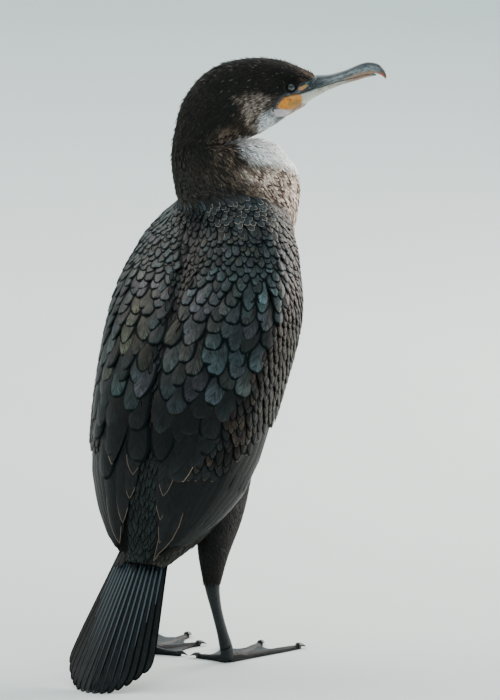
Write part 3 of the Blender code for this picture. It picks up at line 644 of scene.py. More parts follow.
class Coat:
    """Gathers feathers of one piece and makes one mesh of them."""

    def __init__(self):
        self.points, self.faces = [], []
        self.maps = {"Vane": [], "OFBake": []}
        self.shades = {"tint": [], "edge": [], "size": []}
        self.count = 0

    def put(self, made, bake, tint, edge, rim, reach=1.0, shaft=0.0, patch=(0.003, 0.003), lean=0.0):
        """Adds feathers: bake is their roots' places on the unwrap, and rim the width of a rim in metres.

        reach is how far up the sides the rim runs, as a share of the length, and lean favours one side.
        """
        nodes, f, x, wide, length = made
        feathers, rows, columns, _ = nodes.shape
        across = np.concatenate([(x + 1) / 2, [0.0, 1.0]])
        vane = np.stack(np.broadcast_arrays(across[None, :], f[:, None]), -1)
        patches = np.stack([bake[0], bake[1]], -1)[:, None, None, :] + (vane[None] - 0.5) * np.array(patch)
        tint = np.broadcast_to(tint, (feathers, 3))
        edge = np.broadcast_to(edge, (feathers, 3))
        size = np.empty((feathers, rows, columns, 4))
        size[..., 0] = wide[:, :, None]
        for k, value in ((1, length), (2, rim), (3, shaft)):
            size[..., k] = np.broadcast_to(value, (feathers,))[:, None, None]
        per = rows * columns
        self.points.append(nodes.reshape(-1, 3))
        self.maps["Vane"].append(np.broadcast_to(vane, (feathers, rows, columns, 2)).reshape(-1, 2))
        self.maps["OFBake"].append(np.clip(patches, 0, 1).reshape(-1, 2))
        self.shades["tint"].append(np.repeat(np.column_stack([tint, RANDOM.random(feathers)]), per, 0))
        rims = np.empty((feathers, rows, columns, 4))
        rims[..., :3] = edge[:, None, None]
        rims[..., 3] = np.broadcast_to(reach, (feathers,))[:, None, None] * (1 + lean * (across * 2 - 1))
        self.shades["edge"].append(rims.reshape(-1, 4))
        self.shades["size"].append(size.reshape(-1, 4))
        face = grid_faces(rows, columns)
        face = face[(face[:, 0] % columns) < columns - 3][:, ::-1]
        left = np.arange(rows - 1) * columns + columns - 2
        under = np.stack([left, left + 1, left + columns + 1, left + columns], -1)
        starts = self.count + np.arange(feathers)[:, None, None] * per
        self.faces.append((np.vstack([face, under])[None] + starts).reshape(-1, 4))
        self.count += feathers * per

    def build(self, name, material):
        """One mesh, or several where it would pass the limit of a piece."""
        faces, points = np.vstack(self.faces), np.vstack(self.points)
        maps = {key: np.vstack(value) for key, value in self.maps.items()}
        shades = {key: np.vstack(value) for key, value in self.shades.items()}
        parts = math.ceil(len(faces) / PIECE_FACES)
        made = []
        for i in range(parts):
            some = faces[len(faces) * i // parts:len(faces) * (i + 1) // parts]
            used, corner = np.unique(some, return_inverse=True)
            piece = mesh_object(
                f"{name}_{i + 1}" if parts > 1 else name, points[used], corner.reshape(some.shape), material,
                {key: value[used] for key, value in maps.items()},
                {key: value[used] for key, value in shades.items()},
            )
            made.append(piece)
        return made


def scatter(surface, a_range, b_range, spacing, keep=None):
    """Places spread evenly over a surface, spacing(a, b) apart, in an order that has no rows."""
    rows, columns = 240, 180
    a = np.linspace(*a_range, rows + 1)
    b = np.linspace(*b_range, columns + 1)
    mid_a, mid_b = np.meshgrid((a[1:] + a[:-1]) / 2, (b[1:] + b[:-1]) / 2, indexing="ij")
    _, by_a, by_b, _ = surface.frame(mid_a, mid_b)
    area = np.linalg.norm(np.cross(by_a, by_b), axis=-1) * abs((a[1] - a[0]) * (b[1] - b[0]))
    count = area / np.broadcast_to(spacing(mid_a, mid_b), area.shape) ** 2
    total = int(count.sum())
    order = np.arange(total)
    share = (order + 0.5) / total
    turn = (0.5 + order * 0.6180339887) % 1
    edges = np.concatenate([[0], np.cumsum(count.sum(1))])
    where = share * edges[-1]
    row = np.clip(np.searchsorted(edges, where, side="right") - 1, 0, rows - 1)
    at_a = a[row] + (where - edges[row]) / (edges[row + 1] - edges[row]) * (a[1] - a[0])
    at_b = np.empty(total)
    for i in range(rows):
        inside_row = row == i
        across = np.concatenate([[0], np.cumsum(count[i])])
        at_b[inside_row] = np.interp(turn[inside_row] * across[-1], across, b)
    if keep is not None:
        kept = keep(at_a, at_b)
        at_a, at_b = at_a[kept], at_b[kept]
    return at_a, at_b


# Steps along a row, to measure it by.
ROW_STEPS = 120


def lattice(surface, rows, limits, spacing, jitter=0.12):
    """Staggered rows of places, where rows are values of a and limits(a) is the range of b.

    Returns a, b, the spacing, the row's number, and a small random share for each place.
    """
    found = []
    for i, a in enumerate(rows):
        low, high = limits(a)
        b = np.linspace(low, high, ROW_STEPS)
        points = surface.place(np.full(ROW_STEPS, a), b)
        length = np.concatenate([[0], np.cumsum(np.linalg.norm(np.diff(points, axis=0), axis=1))])
        gap = spacing(a)
        count = max(1, int(length[-1] / gap))
        at = (np.arange(count) + (0.25 if i % 2 else 0.75)) * length[-1] / count
        at = at + RANDOM.uniform(-jitter, jitter, count) * gap
        places = np.interp(at, length, b)
        shift = RANDOM.uniform(-jitter, jitter, count)
        found.append(np.stack([np.full(count, a), places, np.full(count, gap), np.full(count, float(i)),
                               shift]))
    return np.concatenate(found, 1)


# Markings

def soft(x, low, high):
    """0 up to low, 1 from high, and smooth between."""
    s = np.clip((x - low) / (high - low), 0, 1)
    return s * s * (3 - 2 * s)


def lumps(points, size, seed=0):
    """Smooth random values from 0 to 1 over space, in lumps of that size."""
    p = np.asarray(points) / size
    base = np.floor(p).astype(np.int64)
    f = p - base
    f = f * f * (3 - 2 * f)
    total = np.zeros(p.shape[:-1])
    for corner in np.ndindex(2, 2, 2):
        at = base + np.array(corner)
        mixed = at[..., 0] * 73856093 ^ at[..., 1] * 19349663 ^ at[..., 2] * 83492791 ^ (seed * 2654435761)
        mixed = (mixed ^ (mixed >> 13)) * 1274126177 & 0xFFFFFFFF
        value = ((mixed ^ (mixed >> 16)) & 0xFFFF) / 65535
        share = np.prod(np.where(np.array(corner) == 1, f, 1 - f), axis=-1)
        total += value * share
    return total


def inside(places, outline, edge):
    """1 inside a closed outline, 0 outside it, and smooth over its edge."""
    a = np.array(outline)
    b = np.roll(a, -1, 0)
    ab = b - a
    ap = np.asarray(places)[..., None, :] - a
    s = np.clip((ap * ab).sum(-1) / (ab * ab).sum(-1), 0, 1)
    far = np.linalg.norm(ap - ab * s[..., None], axis=-1).min(-1)
    x, y = np.asarray(places)[..., 0:1], np.asarray(places)[..., 1:2]
    with np.errstate(divide="ignore", invalid="ignore"):
        crossed = ((a[:, 1] > y) != (b[:, 1] > y)) & (x < ab[:, 0] * (y - a[:, 1]) / ab[:, 1] + a[:, 0])
    within = crossed.sum(-1) % 2 == 1
    return soft(np.where(within, far, -far), -edge, edge)


def on_head(points):
    """Places in the head's own upright plane: forward of the neck's axis, and height. Then how far aside."""
    ahead, rightward = heading(HEAD_YAW)
    moved = points - OVER_ORIGIN - np.array([0.0, NECK_AXIS_Y, 0.0])
    return np.stack([moved @ ahead, moved[..., 2]], -1), moved @ rightward


def blend(colour, other, share):
    """The colour with that share of the other one in it, at each place."""
    share = np.asarray(share)[..., None]
    return colour * (1 - share) + other * share


def tone(code):
    return np.array(linear(code)[:3])


# Outlines on the face's side, as (forward of the neck's axis, height).
BARE_FACE = (
    (0.0430, 0.5470), (0.0455, 0.5530), (0.0482, 0.5582), (0.0515, 0.5624), (0.0560, 0.5650),
    (0.0620, 0.5660),
    (0.0684, 0.5684), (0.0702, 0.5738), (0.0745, 0.5760), (0.0812, 0.5768), (0.0866, 0.5806),
    (0.0960, 0.5810),
    (0.0960, 0.5530), (0.0800, 0.5490), (0.0664, 0.5425), (0.0590, 0.5395), (0.0500, 0.5400),
    (0.0440, 0.5430),
)
ORANGE_SKIN = (
    (0.0486, 0.5503), (0.0515, 0.5556), (0.0558, 0.5605), (0.0600, 0.5622), (0.0700, 0.5640),
    (0.0735, 0.5612),
    (0.0738, 0.5560), (0.0680, 0.5506), (0.0590, 0.5474), (0.0534, 0.5486),
)
PALE_ORANGE = ((0.0570, 0.5596), (0.0612, 0.5620), (0.0706, 0.5640), (0.0700, 0.5606), (0.0636, 0.5590))
OLIVE_SKIN = ((0.0580, 0.5500), (0.0610, 0.5566), (0.0690, 0.5590), (0.0745, 0.5570), (0.0700, 0.5512))
GAPE_EDGE = ((0.0519, 0.5626), (0.0488, 0.5585), (0.0469, 0.5540), (0.0436, 0.5484), (0.0442, 0.5446))
LILAC_SKIN = ((0.0440, 0.5478), (0.0520, 0.5490), (0.0610, 0.5470), (0.0610, 0.5425), (0.0520, 0.5395),
              (0.0450, 0.5400))
PALE_HORN = (
    (0.0706, 0.5560), (0.0712, 0.5632), (0.0826, 0.5662), (0.0905, 0.5690), (0.0980, 0.5700),
    (0.0980, 0.5560),
    (0.0826, 0.5510), (0.0760, 0.5530),
)
CHEEK = (
    (0.0175, 0.5660), (0.0390, 0.5660), (0.0480, 0.5625), (0.0440, 0.5540), (0.0520, 0.5360),
    (0.0400, 0.5200),
    (0.0314, 0.5290), (0.0225, 0.5380), (0.0165, 0.5530), (0.0105, 0.5640),
)
CHIN = (
    (0.0376, 0.5450), (0.0440, 0.5480), (0.0530, 0.5390), (0.0640, 0.5390), (0.0520, 0.5200),
    (0.0380, 0.5240),
    (0.0340, 0.5330),
)
FAWN_PATCH = ((0.010, 0.545), (0.025, 0.560), (0.042, 0.530), (0.034, 0.512), (0.016, 0.520))
LORE_SPOT = (0.0742, 0.5702)
MOUTH = (
    (0.0560, 0.5612), (0.0620, 0.5632), (0.0711, 0.5640), (0.0796, 0.5670), (0.0872, 0.5694),
    (0.0960, 0.5718),
)


def line_distance(places, line):
    """How far places are from an open line."""
    a, b = np.array(line[:-1]), np.array(line[1:])
    ab = b - a
    ap = places[..., None, :] - a
    s = np.clip((ap * ab).sum(-1) / (ab * ab).sum(-1), 0, 1)
    return np.linalg.norm(ap - ab * s[..., None], axis=-1).min(-1)


def bareness(points, t):
    """1 on the face's bare skin, 0 where feathers grow."""
    places, _ = on_head(points)
    return inside(places, BARE_FACE, 0.0006) * soft(t, 22.0, 22.2)


def plumage(points, t, theta):
    """The plumage's colour at places on the body. Skin and coat share it."""
    angle = np.degrees(np.abs(np.angle(np.exp(1j * np.asarray(theta)))))
    # Mottling is finer than a feather, and drawn out down the body.
    stretched = points * np.array([1.0, 1.0, 0.5])
    spots = lumps(stretched, 0.0024, 1) * 0.5 + lumps(stretched, 0.0012, 2) * 0.5
    cloud = lumps(points, 0.016, 3)
    colour = blend(tone("121d1c"), tone("332c26"), cloud * 0.4 + spots * 0.6)
    mottled = blend(tone("e2cfc0"), tone("4f3a2e"), soft(spots, 0.34, 0.66))
    # The belly and the breast, from the vent to the neck's base.
    low = np.interp(t, (0, 1, 2, 3.5, 5, 8, 10, 10.8), (190, 175, 158, 142, 131, 120, 108, 100))
    belly = soft(angle + (cloud - 0.5) * 16, low - 7, low + 8) * (1 - soft(t, 10.6, 11.6))
    pale = blend(tone("d8cec3"), tone("6f5d4e"), soft(spots, 0.48, 0.72) * 0.7)
    colour = blend(colour, blend(mottled, pale, soft(9.5 - t, 0, 3)), belly)
    # The neck: dark behind, brown at its side, and white in front, with a mottled base.
    wave = (cloud - 0.5) * 14 + (spots - 0.5) * 16
    brown = np.interp(t, (9.5, 10.5, 11.4, 12.2, 13.5, 15.2, 17.6, 18.6, 19.4, 20.5, 21.4),
                      (115, 98, 78, 70, 68, 80, 86, 92, 104, 120, 140))
    white = np.interp(t, (10, 11.5, 12.5, 13.3, 13.8, 14.8, 16.2, 17.5, 19, 20, 21),
                      (176, 172, 154, 128, 112, 112, 126, 132, 146, 160, 170))
    on_neck = soft(t, 9.8, 10.8) * (1 - soft(t, 20.9, 21.9))
    side = blend(tone("2a221d"), tone("8d7868"), soft(spots, 0.42, 0.70) * 0.8)
    side = blend(side, mottled, soft(14.2 - t, 0, 1.6) * soft(angle, 76, 104))
    colour = blend(colour, side, soft(angle + wave, brown - 14, brown + 24) * on_neck)
    colour = blend(colour, tone("f4f5f4"),
                   soft(angle + wave * 1.4, white - 16, white + 16) * on_neck)
    # The face: a pale cheek that is browner behind and white at the chin, in a dark head.
    places, _ = on_head(points)
    on_face = soft(t, 19.0, 19.8)
    cheek = blend(tone("473c35"), tone("ae9f94"), soft(spots, 0.36, 0.64))
    colour = blend(colour, tone("3a2f27"), inside(places, FAWN_PATCH, 0.008) * on_face * (0.55 + 0.5 * spots))
    colour = blend(colour, cheek, inside(places, CHEEK, 0.0042) * on_face)
    colour = blend(colour, tone("dfe3e6") * (0.85 + 0.15 * spots[..., None]),
                   inside(places, CHIN, 0.0040) * on_face)
    throat = soft(angle, 156, 168) * soft(t, 21.0, 22.0)
    colour = blend(colour, tone("c5c8c8"), throat)
    front = soft(places[..., 0], 0.070, 0.079) * soft(places[..., 1], 0.574, 0.579) * on_face
    return blend(colour, tone("a5846f"), front * soft(spots, 0.42, 0.62) * 0.75)


def face_colour(points):
    """Bare skin: orange gape, lilac below, a purplish edge of painted shadow, pale horn and dark slaty lores."""
    places, _ = on_head(points)
    fine = lumps(points, 0.0011, 7)
    broad = lumps(points, 0.0030, 8)
    mixed = fine * 0.6 + broad * 0.4
    skin = blend(tone("1c262c"), tone("566770"), soft(mixed, 0.50, 0.78))
    below = soft(0.5535 - places[..., 1] + (places[..., 0] - 0.07) * 0.45, -0.0012, 0.0012)
    skin = blend(skin, blend(tone("8a5f45"), tone("a9a596"), soft(mixed, 0.45, 0.7)), below)
    skin = blend(skin, tone("ccccbf") * (0.80 + 0.35 * mixed[..., None]),
                 inside(places, PALE_HORN, 0.0014) * 0.9)
    skin = blend(skin, blend(tone("a3959f"), tone("d8ced0"), mixed), inside(places, LILAC_SKIN, 0.0014))
    orange = blend(tone("e8930a"), tone("94520c"), soft(mixed, 0.48, 0.78))
    orange = blend(orange, tone("8d6a2c"), inside(places, OLIVE_SKIN, 0.0018) * (0.45 + 0.55 * fine))
    orange = blend(orange, tone("cf9350"), inside(places, PALE_ORANGE, 0.0010) * 0.85)
    skin = blend(skin, orange, inside(places, ORANGE_SKIN, 0.0014))
    # Painted shadow: a dark purplish line along the gape's back edge, where the feathers' border meets the skin.
    edge = line_distance(places, GAPE_EDGE)
    skin = blend(skin, tone("2a2029"), 1 - soft(edge, 0.0008, 0.0022))
    turned = (
        (places - np.array(LORE_SPOT) - (mixed[..., None] - 0.5) * 0.003)
        @ np.array([[0.91, -0.42], [0.42, 0.91]])
    )
    spot = np.linalg.norm(turned / np.array([0.0056, 0.0021]), axis=-1)
    lore = blend(tone("c08a57"), tone("a09a55"), soft(places[..., 0], 0.0755, 0.0785))
    return blend(skin, lore, 1 - soft(spot, 0.55, 1.25))


def new_tint(colour, spread=0.25, low=0.6):
    """Colours with a light of their own for each feather."""
    light = np.maximum(1 + RANDOM.normal(0, spread, colour.shape[:-1]), low)
    return colour * light[..., None]


def with_alpha(colour):
    """Colours as rows of four numbers, as a mesh keeps them."""
    rows = np.asarray(colour).reshape(-1, 3)
    return np.column_stack([rows, np.ones(len(rows))])


# The body's skin

EYES = {side: (np.array(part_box(f"eye_{side}")[0]) + np.array(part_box(f"eye_{side}")[1])) / 2 for side in SIDES}


def eye_outwards(side):
    _, rightward = heading(HEAD_YAW)
    return rightward * -SIDES[side]


def eye_rim(side):
    return EYES[side] + eye_outwards(side) * EYE_DEPTH


def from_eye(points):
    return np.minimum(*[np.linalg.norm(points - eye_rim(side), axis=-1) for side in SIDES])


def body_map(t, theta):
    """The body's unwrap: once round it across, from the tail root to the bill along."""
    return (np.asarray(theta) / (2 * np.pi)) % 1.0, 0.02 + 0.96 * np.asarray(t) / HEAD_END


def make_skin(material, face_material):
    """One skin over torso, neck and head, inside the solids by the coat's depth, with the face sculpted."""
    t = np.concatenate([
        np.linspace(0, TORSO_END, 90, endpoint=False),
        np.linspace(TORSO_END, HEAD_START, 110, endpoint=False),
        np.linspace(HEAD_START, HEAD_END, 200),
    ])
    theta = np.linspace(0, 2 * np.pi, 224, endpoint=False)
    t, theta = np.meshgrid(t, theta, indexing="ij")
    place, normal = body_point(t, theta), body_normal(t, theta)
    bare = bareness(place, t)
    gape = line_distance(on_head(place)[0], GAPE_EDGE) + 0.01 * (t < 22)
    depth = np.interp(t, (0, 10, 14, 20, 22), (0.0030, 0.0028, 0.0020, 0.0015, 0.0011)) * (1 - bare)
    colour = blend(plumage(place, t, theta), face_colour(place), bare)
    places, aside = on_head(place)
    mouth = line_distance(places, MOUTH) + 0.01 * (1 - soft(np.abs(aside), 0.006, 0.009)) + 0.01 * (t < 22)
    groove = 1 - soft(mouth, 0.0003, 0.0011)
    away = from_eye(place)
    socket = (1 - soft(away, 0.0036, 0.0046)) * 0.0030
    brow = 0.0006 * np.exp(-(((away - 0.0068) / 0.0018) ** 2))
    folds = (lumps(place, 0.0011, 4) - 0.5) * 0.0004 * bare
    lip = 0.0006 * np.exp(-((gape / 0.0010) ** 2))
    place = place - normal * (depth + socket - brow - lip - folds + groove * 0.0008)[..., None]
    # Painted shade: the mouth's pressed-in groove is darkened to near black, as the shade in that crease.
    colour = blend(colour, tone("1b1512"), groove * 0.85 * soft(t, 22, 22.4))
    colour = blend(colour, tone("0e1214"), 1 - soft(away, 0.0050, 0.0060))
    made = tube_object("body_skin", place, material, np.stack(body_map(t, theta), -1), colour)
    # The bare face is leathery skin, so its faces take that material.
    made.data.materials.append(face_material)
    faces = np.zeros(len(made.data.polygons), np.int32)
    rows, columns = bare.shape
    corners = grid_faces(rows, columns, True)
    faces[:len(corners)] = bare.ravel()[corners].mean(1) > 0.5
    made.data.polygons.foreach_set("material_index", faces)
    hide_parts("torso", "neck_lower", "neck_upper", "head")


# The small feathers of the head, neck and body

def body_coat(name, material, t_range, spacing, length, half, lift, shape, keep=None, swerve=0.14):
    """A coat of small feathers over a length of the body. The sizes are functions of the ring number."""
    t, theta = scatter(BODY, t_range, (-np.pi, np.pi), spacing, keep)
    place = body_point(t, theta)
    count = len(t)
    bend = (lumps(place, 0.010, 5) - 0.5) * 0.5 + RANDOM.normal(0, swerve, count)
    reach = towards(BODY, t, theta, length(t, theta) * RANDOM.uniform(0.8, 1.2, count), bend)
    # A few feathers in a hundred stand up from the rest.
    nape = np.exp(-((signed_degrees(theta) / 40) ** 2)) * soft(t, 13.5, 14.5)
    raised = (RANDOM.random(count) < 0.06) * (0.0007 + 0.0013 * nape)
    high = lift[1] * RANDOM.uniform(0.6, 1.3, count) + raised
    tint = new_tint(plumage(place, t, theta), 0.26)
    # A few worn pale hairs in the dark crown.
    worn = (RANDOM.random(count) < 0.018) & (t > HEAD_START)
    tint = np.where(worn[:, None], tone("6d675f"), tint)
    coat = Coat()
    made = vanes(BODY, t, theta, reach, half(t, theta) * RANDOM.uniform(0.85, 1.15, count), shape,
                 (lift[0], high),
                 camber=0.35, columns=3, tilt=RANDOM.normal(0, 0.12, count))
    # White feathers keep white edges, dark ones are darker there.
    edge = tint * (0.45 + 0.5 * soft(tint.mean(1), 0.2, 0.7))[:, None]
    coat.put(made, body_map(t, theta), tint, edge, 0.0003, 0.5)
    return coat.build(name, material)


def under_wing(t, theta):
    """Whether a place on the body lies well under a folded wing."""
    v = down_wing(t)
    angle = np.degrees(np.abs(np.angle(np.exp(1j * theta))))
    inner = np.interp(v, WING_STATIONS, WING_INNER_DEG)
    outer = np.interp(v, WING_STATIONS, WING_OUTER_DEG)
    return (v > 0.03) & (v < 0.97) & (angle > inner + 4) & (angle < outer - 7) & (t < 10)


def mantle_top(angle):
    """The ring number where the mantle's scales give way to the neck's feathers, by degrees to the right."""
    return np.interp(angle, (-120, -95, -60, -21, 30, 75, 89, 104, 120),
                     (9.2, 10.1, 10.6, 10.7, 11.0, 11.3, 10.8, 10.1, 9.2))


def signed_degrees(theta):
    return np.degrees(np.angle(np.exp(1j * theta)))


def make_body_coats(material):
    """Hair-fine feathers on the head and neck, then larger soft ones over the breast, belly and rump."""
    def by_ring(*pairs):
        rings, values = zip(*pairs)
        return lambda t, theta: np.interp(t, rings, values)

    def off_face(t, theta):
        place = body_point(t, theta)
        return (bareness(place, t) < 0.3) & (from_eye(place) > 0.0062) & (t < 26.95)

    def head_length(t, theta):
        free = np.interp(t, (20, 22, 24, 25.5, 26.8), (0.0085, 0.0070, 0.0058, 0.0045, 0.0030))
        return free * np.interp(from_eye(body_point(t, theta)), (0.006, 0.016), (0.45, 1.0))

    def below_collar(t, theta):
        return (t > mantle_top(signed_degrees(theta)) - 0.25) & ~under_wing(t, theta)

    def under_parts(t, theta):
        return ~under_wing(t, theta) & (np.abs(signed_degrees(theta)) > np.where(t > 2, 26, 40))

    body_coat("head_feathers", material, (20.3, 26.95), by_ring((20, 0.00125), (24, 0.00105), (27, 0.0008)),
              head_length, by_ring((20, 0.00075), (24, 0.00060), (27, 0.00045)), (-0.0010, 0.0005), "wisp",
              off_face)
    body_coat("neck_feathers", material, (13.2, 20.4), by_ring((13, 0.00165), (20, 0.00130)),
              by_ring((13, 0.0115), (20, 0.0090)), by_ring((13, 0.00115), (20, 0.00080)),
              (-0.0016, 0.0006), "wisp")
    body_coat("breast_feathers", material, (8.2, 13.4), by_ring((8, 0.0027), (13, 0.0018)),
              by_ring((8, 0.0150), (13, 0.0120)), by_ring((8, 0.0022), (13, 0.0014)), (-0.0022, 0.0008),
              "lancet",
              below_collar)
    body_coat("belly_feathers", material, (0.05, 8.4), by_ring((0, 0.0030), (8, 0.0032)),
              by_ring((0, 0.0150), (3, 0.0180), (8, 0.0175)), by_ring((0, 0.0024), (8, 0.0027)),
              (-0.0024, 0.0010),
              "lancet", under_parts)


# The scaled back and wings

def wing_map(side, u, v):
    """The wings' unwrap: the left one in the map's first half, the right one in its second."""
    shift = 0.02 if side == "left" else 0.52
    return shift + 0.46 * np.clip(u, -0.05, 1.05), 0.03 + 0.90 * np.clip(v, -0.05, 1.06)


# How wide a scale is, by its place down the wing. The shoulders count on upwards from the wing's top.
SCALE_PLACES = (-0.10, 0.00, 0.10, 0.19, 0.26, 0.33, 0.42, 0.55, 0.72)
SCALE_WIDTHS = (0.0058, 0.0066, 0.0084, 0.0105, 0.0130, 0.0165, 0.0200, 0.0225, 0.0250)

# Patches of structural colour on the wings, partly the feathers' own tint and partly painted sheen: place
# across and down, size as a share of the wing's length, and colour.
SHEENS = {
    "right": (
        (0.14, 0.31, 0.050, "525259"), (0.45, 0.36, 0.035, "464852"), (0.12, 0.48, 0.030, "444639"),
        (0.09, 0.41, 0.025, "41463c"), (0.22, 0.37, 0.025, "404439"), (0.17, 0.20, 0.060, "24393c"),
        (0.42, 0.24, 0.060, "3c5253"), (0.32, 0.43, 0.050, "314145"), (0.55, 0.45, 0.060, "37464d"),
        (0.60, 0.15, 0.060, "2e3d40"), (0.20, 0.59, 0.018, "404028"), (0.35, 0.56, 0.050, "2b363a"),
    ),
    "left": (
        (0.23, 0.34, 0.030, "585544"), (0.25, 0.42, 0.030, "4b4a36"), (0.08, 0.44, 0.035, "404136"),
        (0.06, 0.32, 0.030, "4b4e52"), (0.15, 0.25, 0.035, "595559"), (0.20, 0.53, 0.030, "364a47"),
        (0.05, 0.17, 0.060, "243d40"), (0.35, 0.18, 0.050, "4a524f"), (0.55, 0.42, 0.060, "40443d"),
        (0.45, 0.30, 0.050, "3d4140"), (0.10, 0.58, 0.040, "323f40"),
    ),
}


def scale_width(v):
    return np.interp(v, SCALE_PLACES, SCALE_WIDTHS)


def pick(weights, codes, count):
    """Colours drawn from a few, by weight."""
    shares = np.cumsum(weights) / np.sum(weights)
    return np.array([tone(code) for code in codes])[np.searchsorted(shares, RANDOM.random(count))]


def sheen_colour(side, u, v):
    """The scapulars' colour at places on a wing: a slate ground, with patches of tint and painted sheen over it.
    """
    colour = pick((4, 3, 2), ("2e3739", "33362f", "333237"), len(u))
    for at_u, at_v, size, code in SHEENS[side]:
        far = np.hypot((u - at_u) * 0.45, v - at_v)
        colour = blend(colour, tone(code), np.exp(-((far / size) ** 2)) * 0.85)
    return colour


def place_down(t):
    """How far down the wing a ring of the body is, and on upwards past the wing's top."""
    v = down_wing(t)
    return v - np.maximum(np.asarray(t) - 10, 0) * 0.08


def make_mantle(material):
    """The upper back's small scales, over the shoulders and between the wings."""
    rows, t = [], 11.25
    while t > 8.15:
        rows.append(t)
        ends = BACK.place(np.array([t + 0.01, t - 0.01]), np.zeros(2))
        t -= 0.60 * scale_width(place_down(t)) * 0.02 / np.linalg.norm(ends[1] - ends[0])
    t, theta, gap, row, shift = lattice(
        BACK, rows, lambda t: np.radians([-116, 116]), lambda t: scale_width(place_down(t)))
    kept = t < mantle_top(signed_degrees(theta))
    t, theta, gap, row, shift = (values[kept] for values in (t, theta, gap, row, shift))
    count = len(t)
    t = t + shift * 0.03
    degrees = signed_degrees(theta)
    reach = towards(BACK, t, theta, gap * RANDOM.uniform(1.9, 2.3, count), RANDOM.normal(0, 0.11, count))
    place = back_point(t, theta)
    drift = lumps(place, 0.022, 21)
    colour = blend(pick((5, 3), ("223236", "29322f"), count), tone("323034"), drift * 0.5)
    middle = np.exp(-((degrees / 17) ** 2)) * soft(10.95 - t, 0, 0.5)
    colour = blend(colour, tone("131012"), middle * 0.9)
    # Painted sheen: the left shoulder's scales are lightened towards silvery grey, a highlight painted into their
    # colour.
    left_shoulder_sheen = np.exp(-(((degrees + 46) / 26) ** 2)) * np.exp(-(((t - 9.7) / 0.7) ** 2))
    colour = blend(colour, tone("5d6e70"), left_shoulder_sheen * RANDOM.uniform(0.1, 0.9, count))
    # Thin pale tips on the right shoulder, under the neck's side, and some on the left one.
    pale = 0.75 * soft(degrees, 14, 34) * (1 - soft(degrees, 98, 108)) * soft(t, 9.2, 10.0)
    pale = np.maximum(pale, 0.35 * soft(-degrees, 20, 40) * soft(t, 9.2, 9.8))
    pale = (RANDOM.random(count) < pale)[:, None]
    edge = np.where(pale, tone("b5ada3") * RANDOM.uniform(0.4, 1.2, (count, 1)), tone("0c1416"))
    coat = Coat()
    made = vanes(BACK, t, theta, reach, gap * 0.56, "scale", (-0.0012, 0.0010 + (row % 2) * 0.0002),
                 camber=0.13,
                 columns=5, tilt=RANDOM.normal(0, 0.05, count))
    rim = np.where(pale[:, 0], 0.00040, 0.20 * gap)
    coat.put(made, body_map(t, theta), new_tint(colour, 0.35, 0.3), edge, rim,
             np.where(pale[:, 0], 0.35, 0.85), 0.1,
             (0.0045, 0.0045))
    coat.build("mantle_scales", material)


def ridge_point(t, theta):
    """The hollow between the wings, half filled by the feathers that lie over it."""
    t, theta = np.broadcast_arrays(np.asarray(t, float), np.asarray(theta, float))
    v = place_down(t)
    inner = np.radians(np.interp(v, WING_STATIONS, WING_INNER_DEG))
    edge = np.interp(v, WING_STATIONS, WING_THICKNESS) * WING_PROFILE[0]
    across = np.clip(np.abs(np.angle(np.exp(1j * theta))) / inner, 0, 1.6)
    height = edge * (0.70 + 0.50 * across**2) * np.clip(1.12 - np.maximum(v - 0.80, 0) * 4, 0.2, 1)
    return body_point(t, theta) + body_normal(t, theta) * height[..., None]


def make_back_feathers(material):
    """Long soft dark feathers down the middle of the back, between the wings, to the rump."""
    surface = Surface(ridge_point, -1.0, 1.0)
    rows = np.arange(0.0, 8.4, 0.17)[::-1]

    def limits(t):
        inner = np.interp(place_down(t), WING_STATIONS, WING_INNER_DEG)
        return np.radians(inner) * np.array([-1.25, 1.25])

    t, theta, gap, row, _ = lattice(surface, rows, limits,
                                    lambda t: np.interp(t, (0, 3, 8), (0.0060, 0.0060, 0.0045)))
    count = len(t)
    length = np.interp(t, (0, 2, 8), (0.026, 0.030, 0.014)) * RANDOM.uniform(0.85, 1.15, count)
    reach = towards(surface, t, theta, length, RANDOM.normal(0, 0.05, count))
    colour = blend(pick((3, 2), ("221f20", "1c2322"), count), tone("18211f"), soft(4.6 - t, 0, 1.5))
    coat = Coat()
    made = vanes(surface, t, theta, reach, gap * 0.62, "pointed", (-0.0014, 0.0008 + (row % 2) * 0.0002),
                 camber=0.12,
                 columns=5, tilt=RANDOM.normal(0, 0.05, count))
    coat.put(made, body_map(t, theta), new_tint(colour, 0.12), tone("070909"), 0.0008, 0.5, 0.0,
             (0.0045, 0.0045))
    coat.build("back_feathers", material)


def border(v):
    """Where the wing's small outer coverts begin, from its inner edge."""
    return np.interp(v, (0.05, 0.18, 0.37, 0.52, 0.72, 0.86), (0.86, 0.66, 0.54, 0.50, 0.38, 0.22))


def wing_length(surface):
    """Metres down the wing for one step of v."""
    ends = surface.place(np.array([0.3, 0.5]), np.array([0.4, 0.4]))
    return np.linalg.norm(ends[1] - ends[0]) / 0.2


